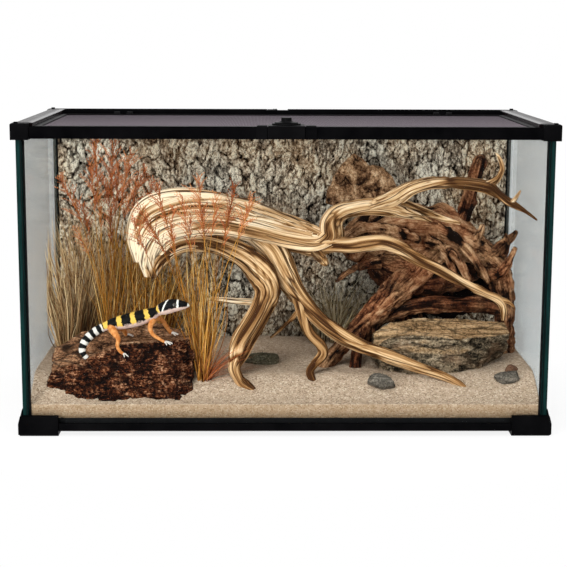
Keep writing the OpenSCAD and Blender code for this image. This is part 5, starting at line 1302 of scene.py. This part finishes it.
def root_stump():
    """Dark gnarled root on its side, with roots that reach down and broken twigs."""
    build = Build()
    broad = {"sides": 96, "groove": 1.8, "cell": 19, "lumps": 12, "lump_size": 28}
    slim = {"sides": 48, "groove": 2.4, "cell": 10, "lumps": 4.5, "lump_size": 12}
    for i, (name, route) in enumerate(STUMP.items()):
        look = broad if name in ("body", "lower", "back") else slim
        limb(build, route, 131 + i, gap=2.0, knots=0.12, stretch=110, tone=STUMP_TONE.get(name, 0.5), **look)
        if name in ("root", "trunk", "bar"):
            ropes(build, route, 3, 180 + 10 * i, 0.58, 0.55, sides=32, groove=1.6, cell=6, stretch=70,
                  lumps=2.5, lump_size=10)
    for i, route in enumerate(STUMP_TWIGS):
        limb(build, route, 231 + i, sides=28, gap=1.8, groove=1.4, knots=0.14, cell=5, stretch=40, lumps=2.4,
             lump_size=8)
    build.make("stump_roots", "root_wood", slot="dark_wood", replaces=("root_stump",))


# Outline of the slab in x and z
SLAB = [(138, 40), (166, 40), (168, 150), (150, 200), (144, 232), (147, 254), (139, 270), (126, 282),
        (108, 288), (89, 301), (76, 290), (60, 270), (54, 252), (52, 236), (84, 226), (112, 214), (130, 190),
        (138, 140)]
SLAB_FRONT, SLAB_BACK = 98, 108


def bark_slab():
    """A slab of thick bark, split and worn along its edge."""
    edge = np.array(SLAB + SLAB[:1], float)
    fine = []
    for a, b in zip(edge[:-1], edge[1:]):
        steps = max(1, int(np.linalg.norm(b - a) / SLAB_GRAIN))
        fine += [a + (b - a) * k / steps for k in range(steps)]
    fine = np.array(fine)
    flat = np.stack([fine[:, 0], fine[:, 1], fine[:, 0] * 0], axis=1)
    worn = 0.02 + 0.05 * np.abs(layered(flat, 12, 3, 3))
    fine = fine + (fine.mean(0) - fine) * worn[:, None]
    work = bmesh.new()
    cap = work.faces.new([work.verts.new((x, SLAB_FRONT, z)) for x, z in fine])
    for part in bmesh.ops.extrude_face_region(work, geom=[cap])["geom"]:
        if isinstance(part, bmesh.types.BMVert):
            part.co.y = SLAB_BACK
    split_long(work, SLAB_GRAIN, 6)
    p, faces = points_and_faces(work)
    work.free()
    ribs = np.abs(layered(p * np.array([1, 0, 0.35]), 9, 3, 5))
    front = p[:, 1] < (SLAB_FRONT + SLAB_BACK) / 2
    p[:, 1] += np.where(front, 5.5 * ribs - 1.5, -2.0 * ribs)
    piece("slab_of_bark", p, faces, "bark_slab", slot="bark", replaces=("bark_slab",))


# Grass

def blades(build, foot, count, heights, crown, spread, lean, width, seed, droop=0.18):
    """Curved blades of one clump, each a thin closed wedge that tapers to its tip."""
    rng = np.random.default_rng(seed)
    rings = 9
    t = np.linspace(0, 1, rings)
    faces = tube_faces(rings, 3)
    for _ in range(count):
        turn = rng.uniform(0, 2 * np.pi)
        way = np.array([math.cos(turn), math.sin(turn)]) * math.sqrt(rng.uniform(0, 1))
        start = np.array(foot, float) + way * crown
        aim = way * np.array(spread) + rng.normal(0, 0.13, 2) * np.array(spread) + np.array(lean)
        height = rng.uniform(*heights)
        bend = rng.uniform(1.3, 2.2)
        curl = rng.normal(0, 0.05) * height
        x = start[0] + aim[0] * t ** bend + curl * np.sin(t * 3.1)
        y = start[1] + aim[1] * t ** bend + 0.5 * curl * np.sin(t * 2.3)
        ground = float(sand_at(np.float64(start[0]), np.float64(start[1]))) - ROOT_DEPTH
        z = ground + height * (t - droop * rng.uniform(0, 1) * t ** 3)
        x, y = np.clip(x, -BLADE_X, BLADE_X), np.clip(y, BLADE_Y0, BLADE_Y1)
        wide = width * rng.uniform(0.6, 1.25) * np.clip(1.35 - t, 0, 1) ** 0.7 * (1 - 0.85 * t ** 5) / 2
        face = rng.uniform(0, np.pi)
        across = np.array([math.cos(face), math.sin(face)])
        thin = np.array([-across[1], across[0]]) * 0.32
        ring = [np.stack([x + across[0] * wide * side + thin[0] * lift * wide,
                          y + across[1] * wide * side + thin[1] * lift * wide, z], axis=1)
                for side, lift in ((-1, 0), (0, 1), (1, 0))]
        points = np.stack(ring, axis=1).reshape(-1, 3)
        ends = np.array([[x[0], y[0], z[0] - 0.2], [x[-1], y[-1], z[-1] + 0.5]])
        build.add(np.concatenate([points, ends]), faces, along=np.append(np.repeat(t, 3), [0, 1]),
                  tint=rng.uniform(0, 1))


# Each clump's finish, slot and CAD node, then its tufts: foot, blades, least and most height, width of
# the crown, spread, lean, width of a blade, and seed
CLUMPS = {
    "straw_clump": ("straw", "straw", "grass_left",
                    ((-254, 36), 220, (80, 176), 12, (40, 16), (0, 2), 1.5, 1),
                    ((-236, 86), 200, (90, 194), 12, (46, 16), (-6, 2), 1.5, 2),
                    ((-264, 0), 90, (50, 120), 9, (20, 14), (-6, 0), 1.4, 3),
                    ((-200, 60), 120, (60, 130), 16, (40, 14), (0, 0), 1.4, 13),
                    ((-262, 14), 110, (60, 165), 10, (20, 20), (-20, -4), 1.5, 14)),
    "golden_clump": ("golden", "golden_grass", "grass_golden",
                     ((-196, 74), 200, (90, 200), 11, (44, 14), (0, 2), 1.5, 4),
                     ((-150, 84), 130, (70, 160), 11, (46, 14), (6, 2), 1.4, 5),
                     ((-99, -66), 80, (50, 184), 6, (20, 8), (-2, -6), 1.3, 6),
                     ((-168, 40), 90, (50, 150), 12, (40, 14), (0, 0), 1.5, 7)),
    "pale_clump": ("pale_stalk", "pale_grass", "grass_pale",
                   ((70, 90), 180, (40, 100), 10, (38, 12), (6, 4), 1.5, 8),
                   ((46, 96), 70, (30, 70), 10, (26, 10), (-4, 2), 1.4, 9)),
}


def grasses():
    for name, (finish, slot, node, *tufts) in CLUMPS.items():
        build = Build()
        for tuft in tufts:
            blades(build, *tuft)
        build.make(name, finish, slot=slot, replaces=(node,))


# The foot of each reed, and the x, y and z of its tips with the length of each head
PLUMES = [
    ((-214, 20, 56), [(-264, 22, 276, 40), (-250, 20, 214, 26), (-244, 24, 244, 30), (-232, 22, 294, 46),
                      (-222, 26, 254, 34), (-214, 24, 272, 40), (-206, 22, 318, 52), (-198, 26, 286, 44),
                      (-186, 24, 302, 46), (-180, 20, 268, 36), (-172, 22, 284, 38), (-228, 24, 318, 40),
                      (-212, 18, 232, 28), (-160, 24, 270, 34)]),
    ((-95, -92, 50), [(-176, -80, 236, 30), (-166, -84, 254, 36), (-156, -82, 236, 28), (-146, -84, 276, 40),
                      (-134, -82, 250, 32), (-122, -84, 262, 36), (-112, -82, 240, 28), (-102, -84, 284, 42),
                      (-92, -84, 254, 34), (-78, -84, 264, 36), (-66, -82, 246, 30), (-56, -84, 276, 36),
                      (-44, -84, 256, 30), (-34, -84, 262, 30), (-130, -84, 222, 24)]),
]


def thread(build, path, radius, **stored):
    """A thin three-sided stalk along a path that tapers to its tip."""
    run, wide, deep = frames_along(path)
    a = np.array([0.0, 2.1, 4.2])
    thick = radius * np.linspace(1, 0.45, len(path))
    ring = (path[:, None, :] + (wide[:, None, :] * np.cos(a)[None, :, None]
            + deep[:, None, :] * np.sin(a)[None, :, None]) * thick[:, None, None])
    build.add(np.concatenate([ring.reshape(-1, 3), path[:1], path[-1:]]), tube_faces(len(path), 3), **stored)


def branchlet(root, run, out, reach, share):
    """Where a bowed branchlet of a reed head lies, at a share of its reach."""
    return (root + run * reach * share + out * reach * 0.55 * share ** 1.4
            - np.array([0, 0, reach * 0.2]) * share ** 2.2)


def spray(build, low, high, rng, shade):
    """A loose feathery head: fine branchlets that bow outwards, each strung with small seeds."""
    low, high = np.array(low), np.array(high)
    length = np.linalg.norm(high - low)
    run = (high - low) / length
    wide = np.cross(run, (0, 1, 0))
    wide /= np.linalg.norm(wide)
    deep = np.cross(run, wide)
    seed_faces = tube_faces(1, 4)
    seed_fat = 0.6
    count = int(length * 0.62)
    bow = wide * rng.uniform(-0.16, 0.16) * length
    for k in range(count):
        t = (k + rng.uniform(0, 1)) / count
        a = rng.uniform(0, 2 * np.pi)
        out = wide * math.cos(a) + deep * math.sin(a)
        full = 0.12 + 0.26 * math.sin(math.pi * min(1, 0.25 + 0.75 * t))
        reach = full * length * rng.uniform(0.3, 1.45)
        root = low + (high - low) * t + bow * t * t
        tone = float(np.clip(shade + rng.normal(0, 0.16), 0, 1))
        path = branchlet(root, run, out, reach, np.linspace(0, 1, 6)[:, None])
        thread(build, path, 0.28, along=0.4, tint=tone * 0.7)
        steps = max(3, int(reach / 2.1))
        for i in range(1, steps + 1):
            v = i / steps
            c = branchlet(root, run, out, reach, v)
            way = run + rng.normal(0, 0.5, 3) + out * 0.5
            way /= np.linalg.norm(way)
            side = np.cross(way, rng.normal(0, 1, 3))
            side /= np.linalg.norm(side)
            up = np.cross(side, way)
            size = rng.uniform(1.6, 2.8)
            middle = c + way * size * 0.45
            points = [middle + side * seed_fat, middle + up * seed_fat, middle - side * seed_fat,
                      middle - up * seed_fat, c, c + way * size]
            build.add(points, seed_faces, along=0.35 + 0.6 * v, tint=tone)


def plumes():
    """Red reed plumes: thin bowed stems, a few narrow leaves and a feathery head on each."""
    build, stems = Build(), Build()
    rng = np.random.default_rng(21)
    t = np.linspace(0, 1, 24)[:, None]
    for number, (root, tips) in enumerate(PLUMES):
        for *top, length in tips:
            foot = np.array(root, float) + np.array([rng.uniform(-6, 6), rng.uniform(-4, 4), -3])
            top = np.array(top, float)
            bow = np.array([rng.uniform(-8, 8), rng.uniform(-3, 3), 0])
            rise = np.concatenate([t ** 1.3, t ** 1.3, t], axis=1)
            path = foot + (top - foot) * rise + bow * np.sin(np.pi * t)
            shade = rng.uniform(0.25, 0.85)
            thread(stems, path, 0.7, along=0.3, tint=shade * 0.8)
            head = min(0.6, length * 1.25 / np.linalg.norm(top - foot))
            spray(build, path[int(23 * (1 - head))], top, rng, shade)
        spread = (28, 5) if number else (44, 5)
        blades(stems, root[:2], 40, (60, 180), 6, spread, (0, 2), 1.2, 31 + number, droop=0.1)
    blades(stems, (-95, -88), 30, (40, 120), 5, (17, 8), (0, 0), 1.6, 34, droop=0.1)
    blades(build, (-90, -93), 80, (14, 54), 4, (40, 6), (26, -2), 0.9, 35, droop=0.25)
    stems.make("plume_stems", "golden", slot="golden_grass", replaces=("red_plumes",))
    build.make("red_plume_heads", "plume", slot="plumes", replaces=("red_plumes",))


# Gecko

# Its back from tail tip to snout, then its four legs, as routes
SPINE = [(-214, -106, 79, 1.2, 1.2), (-226, -106, 80, 2.6, 2.6), (-232, -104, 89, 4, 4),
         (-228, -101, 100, 4.8, 4.8), (-218, -98, 109, 5, 5.2), (-206, -96, 115, 5, 5.6),
         (-196, -96, 118, 7, 7.4), (-182, -96, 121, 8.4, 9.4), (-166, -96, 125, 8.6, 9.4),
         (-153, -96, 129.5, 7.2, 8.2), (-146, -97, 133, 5.4, 6.6), (-139, -98, 136.5, 7.4, 9.6),
         (-130, -99, 139.5, 7.8, 10), (-121, -100, 140.5, 6.2, 7.6), (-114, -100, 140.5, 4, 5),
         (-110.5, -100, 140, 2, 2.8)]
GECKO_LEGS = [
    [(-199, -99, 115, 5, 5), (-195, -106, 110, 4.2, 4.2), (-190, -111, 104, 2.8, 2.8),
     (-191, -113, 96, 2.2, 2.2), (-188, -114, 90, 1.9, 1.9), (-184, -115, 87, 1.5, 1.5)],
    [(-151, -99, 123, 4, 4), (-154, -107, 116, 2.9, 2.9), (-151, -110, 109, 2.2, 2.2),
     (-144, -111, 104, 1.9, 1.9), (-137, -112, 100, 1.4, 1.4)],
    [(-196, -92, 112, 4.4, 4.4), (-188, -84, 110, 3.2, 3.2), (-184, -80, 102, 2.4, 2.4)],
    [(-150, -92, 124, 4, 4), (-142, -84, 120, 3, 3), (-136, -81, 110, 2.4, 2.4), (-132, -80, 104, 2, 2)],
]
TAIL_END, NECK = 60, 131
TAIL_RING, BACK_BAND = 9.2, 16.5
EYE, EYE_PLACE, EYE_SIDE = np.array([2.6, 2.2, 2.4]), (-126, -99.5, 142.2), 7.9
AREA = {"back": 0.1, "tail": 0.4, "leg": 0.6, "toe": 0.7, "head": 0.9}


def smooth_tube(build, route, sides, gap, area, band):
    """A smooth limb of the animal; area and band give the part and the pattern along its length."""
    q, place = even_steps(route, gap)
    q[:, 3:] = np.maximum(q[:, 3:], 0.5)
    run, wide, deep = frames_along(q[:, :3])
    a = np.linspace(0, 2 * np.pi, sides, endpoint=False)
    out = (wide[:, None, :] * np.cos(a)[None, :, None] * q[:, 3, None, None]
           + deep[:, None, :] * np.sin(a)[None, :, None] * q[:, 4, None, None])
    skin = q[:, None, :3] + out
    unit = out / np.linalg.norm(out, axis=2, keepdims=True)
    side = 0.5 - 0.5 * unit[..., 2]
    ends = np.stack([q[0, :3] - run[0] * q[0, 3] * 0.6, q[-1, :3] + run[-1] * q[-1, 3] * 0.8])
    marks = np.broadcast_to(band(place[:, None], side), side.shape)
    parts = np.broadcast_to(area(place)[:, None], side.shape)
    build.add(np.concatenate([skin.reshape(-1, 3), ends]), tube_faces(len(place), sides),
              side=np.append(side.ravel(), [0.5, 0.5]),
              band=np.append(marks.ravel(), [marks[0, 0], marks[-1, 0]]),
              area=np.append(parts.ravel(), [parts[0, 0], parts[-1, 0]]))


def body_area(s):
    """Tail, back or head, by the distance from the tail tip."""
    return np.where(s < TAIL_END, AREA["tail"], np.where(s > NECK, AREA["head"], AREA["back"]))


def body_band(s, side):
    """Rings of the tail, bands of the back, and pale lines on the dark head."""
    tail = 0.55 + 0.6 * np.sin(2 * np.pi * (s + 2) / TAIL_RING)
    back = 0.8 + 0.6 * np.cos(2 * np.pi * (s - 105.5) / BACK_BAND)
    lines = (np.abs(s - 135.0 - 14 * (0.5 - side)) < 0.9) | (np.abs(s - 151.5) < 0.8) | (s > 161.5)
    head = np.where(lines, 0.1, 0.95)
    return np.where(s < TAIL_END, tail, np.where(s > NECK, head, back))


def plain(s, side):
    return s * 0


def toes(build, ankle, foot):
    """Five toes that fan out from a foot."""
    ahead = foot - ankle
    ahead[2] = 0
    ahead /= max(np.linalg.norm(ahead), 1e-6)
    for k in range(5):
        turn = math.radians(-64 + 32 * k)
        way = np.array([ahead[0] * math.cos(turn) - ahead[1] * math.sin(turn),
                        ahead[0] * math.sin(turn) + ahead[1] * math.cos(turn), -0.12])
        toe = [(*(foot + way * d + np.array([0, 0, h])), r, r) for d, h, r in
               ((0, 0, 1.2), (2.8, 0.9, 0.8), (6.0, 0.2, 0.65), (8.6, -0.6, 0.4))]
        smooth_tube(build, toe, 8, 0.8, lambda s: s * 0 + AREA["toe"], plain)


def gecko():
    """Life-size leopard-patterned gecko: body, tail, head, four legs with toes, and eyes."""
    build, eyes = Build(), Build()
    smooth_tube(build, SPINE, 36, 1.0, body_area, body_band)
    for route in GECKO_LEGS:
        smooth_tube(build, route, 16, 1.3, lambda s: s * 0 + AREA["leg"], plain)
        toes(build, np.array(route[-2][:3], float), np.array(route[-1][:3], float))
    build.make("gecko_body", "gecko_skin", slot="gecko_skin", replaces=("gecko_figure",))
    rings, sides = 10, 16
    x, y, z = EYE_PLACE
    for side in (-EYE_SIDE, EYE_SIDE):
        centre = np.array([x, y + side, z])
        points = centre + (ball(rings, sides, 80) * EYE).reshape(-1, 3)
        ends = centre + np.array([[0, 0, -EYE[2]], [0, 0, EYE[2]]])
        eyes.add(np.concatenate([points, ends]), tube_faces(rings, sides))
    eyes.make("gecko_eyes", "gecko_eye", slot="gecko_skin")


camera()
white_world()
studio_floor()
for name, values in LAMPS.items():
    lamp(name, *values)
bpy.context.scene.view_settings.view_transform = "Standard"

dress_frame()
panes()
screen()
background()
sand()
rocks()
pebbles()
driftwood()
root_stump()
bark_slab()
grasses()
plumes()
gecko()
